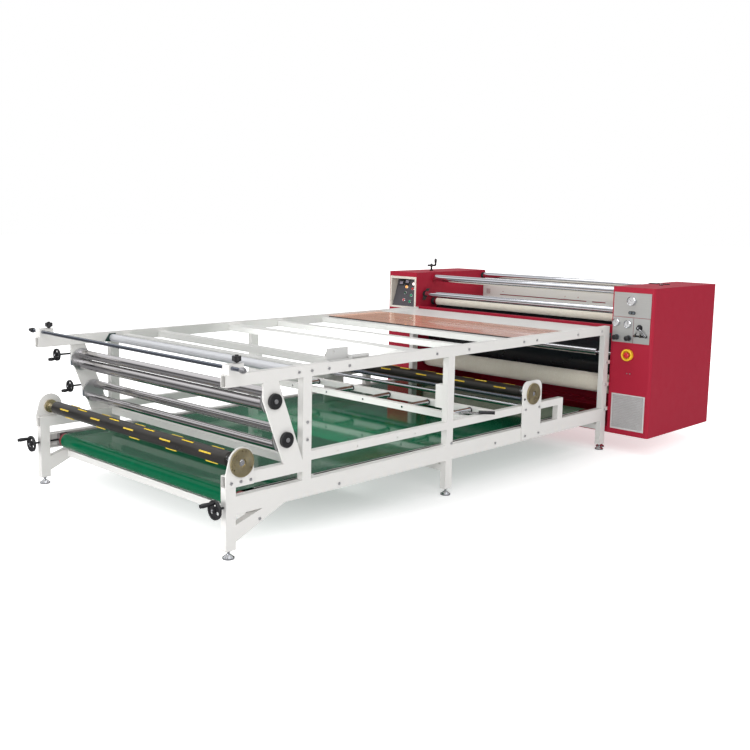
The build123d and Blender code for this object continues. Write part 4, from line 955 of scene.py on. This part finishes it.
# ---- Stage --------------------------------------------------------------------------------------
def stage_floor():
    """A pale floor that glows into white with distance; mirrored in the chrome it stays dark."""
    mesh = bpy.data.meshes.new("floor")
    size = 60
    corners = [(-size, -size, 0), (size, -size, 0), (size, size, 0), (-size, size, 0)]
    mesh.from_pydata(corners, [], [(0, 1, 2, 3)])
    floor = bpy.data.objects.new("floor", mesh)
    bpy.context.scene.collection.objects.link(floor)
    t = Tree("floor_paint")
    x, y, z = t.xyz()
    away = t.calc("SQRT", t.calc("ADD", t.calc("MULTIPLY", x, x), t.calc("MULTIPLY", y, y)))
    rays = t.add("ShaderNodeLightPath").outputs
    seen = t.calc("MULTIPLY", t.fit(away, 1.2, 3.6, 0.44, 1.1), rays["Is Camera Ray"])
    other = t.fit(rays["Is Glossy Ray"], 0.0, 1.0, 0.42, 0.06)
    unseen = t.calc("MULTIPLY", other, t.calc("SUBTRACT", 1.0, rays["Is Camera Ray"]))
    tone = t.mix(rays["Is Glossy Ray"], (0.70, 0.70, 0.70), (0.20, 0.20, 0.21))
    paint = t.set(
        Base_Color=tone,
        Roughness=0.8,
        Emission_Color=(1.0, 1.0, 1.0),
        Emission_Strength=t.calc("MAXIMUM", seen, unseen),
    )
    mesh.materials.append(paint)


def stage_world():
    """White behind the object; in reflections a sky with dark and bright belts, as softboxes give."""
    world = bpy.data.worlds.new("studio")
    bpy.context.scene.world = world
    world.use_nodes = True
    tree = world.node_tree
    tree.nodes.clear()

    def add(kind, **settings):
        node = tree.nodes.new(kind)
        for key, value in settings.items():
            setattr(node, key, value)
        return node

    def background(colour_source, strength):
        node = add("ShaderNodeBackground")
        node.inputs["Strength"].default_value = strength
        if colour_source is not None:
            tree.links.new(colour_source, node.inputs["Color"])
        else:
            node.inputs["Color"].default_value = (1, 1, 1, 1)
        return node.outputs[0]

    def choose(mask, off, on):
        node = add("ShaderNodeMixShader")
        tree.links.new(mask, node.inputs[0])
        tree.links.new(off, node.inputs[1])
        tree.links.new(on, node.inputs[2])
        return node.outputs[0]

    split = add("ShaderNodeSeparateXYZ")
    tree.links.new(add("ShaderNodeTexCoord").outputs["Generated"], split.inputs[0])
    belts = add("ShaderNodeValToRGB")
    belts.color_ramp.interpolation = "EASE"
    low_sky = ((0.0, 0.12), (0.10, 0.14), (0.24, 0.20), (0.40, 0.85))
    high_sky = ((0.60, 1.0), (0.74, 0.45), (0.84, 0.60), (0.94, 1.05))
    stops = low_sky + high_sky
    belts.color_ramp.elements[0].position = stops[0][0]
    belts.color_ramp.elements[1].position = stops[-1][0]
    for place, _ in stops[1:-1]:
        belts.color_ramp.elements.new(place)
    for element, (_, tone) in zip(belts.color_ramp.elements, stops):
        element.color = (tone, tone, tone * 1.02, 1)
    tree.links.new(split.outputs[2], belts.inputs[0])
    path = add("ShaderNodeLightPath")
    soft = background(None, 0.50)
    mirrored = choose(path.outputs["Is Glossy Ray"], soft, background(belts.outputs[0], 1.0))
    seen = choose(path.outputs["Is Camera Ray"], mirrored, background(None, 1.0))
    out = add("ShaderNodeOutputWorld")
    tree.links.new(seen, out.inputs[0])


def stage_lamps():
    """Soft boxes: name, place, aim, size and power."""
    lamps = (
        ("key", (7.0, -6.0, 6.5), (0.0, 0.0, 0.6), 5.0, 255),
        ("side", (8.0, 2.5, 3.5), (0.5, 0.5, 0.6), 4.0, 90),
        ("top", (-1.0, 0.5, 7.5), (0.0, 0.2, 0.0), 6.0, 220),
        ("low", (3.2, -6.0, 0.5), (0.0, 1.3, 0.6), 1.2, 35),
        ("inside", (0.0, -0.9, 0.62), (0.0, 1.5, 0.62), 1.0, 9),
        ("front", (-0.5, -8.0, 2.2), (0.0, 1.5, 0.6), 3.0, 230),
    )
    for name, spot, aim, size, power in lamps:
        light = bpy.data.lights.new(name, "AREA")
        light.energy = power
        light.size = size
        lamp = bpy.data.objects.new(name, light)
        lamp.location = spot
        lamp.visible_glossy = name != "inside"
        lamp.rotation_euler = (Vector(aim) - Vector(spot)).to_track_quat("-Z", "Y").to_euler()
        bpy.context.scene.collection.objects.link(lamp)


def stage_camera():
    """The camera where the photographer stood: right of the winding end, at about eye height."""
    camera = bpy.data.cameras.new("camera")
    camera.lens = 46.8
    camera.sensor_width = 36.0
    camera.shift_x = 0.0314
    camera.shift_y = -0.0355
    camera.clip_end = 100
    holder = bpy.data.objects.new("camera", camera)
    yaw, pitch, roll = math.radians(44.80), math.radians(-7.67), math.radians(0.93)
    forward = Vector((-math.sin(yaw) * math.cos(pitch), math.cos(yaw) * math.cos(pitch), math.sin(pitch)))
    level = forward.cross(Vector((0, 0, 1))).normalized()
    above = level.cross(forward)
    right = math.cos(roll) * level + math.sin(roll) * above
    up = right.cross(forward)
    basis = Matrix((right, up, -forward)).transposed().to_4x4()
    holder.matrix_world = Matrix.Translation((4.5055, -4.9160, 1.6433)) @ basis
    bpy.context.scene.collection.objects.link(holder)
    bpy.context.scene.camera = holder


stage_floor()
stage_world()
stage_lamps()
stage_camera()
bpy.context.scene.view_settings.view_transform = "Standard"
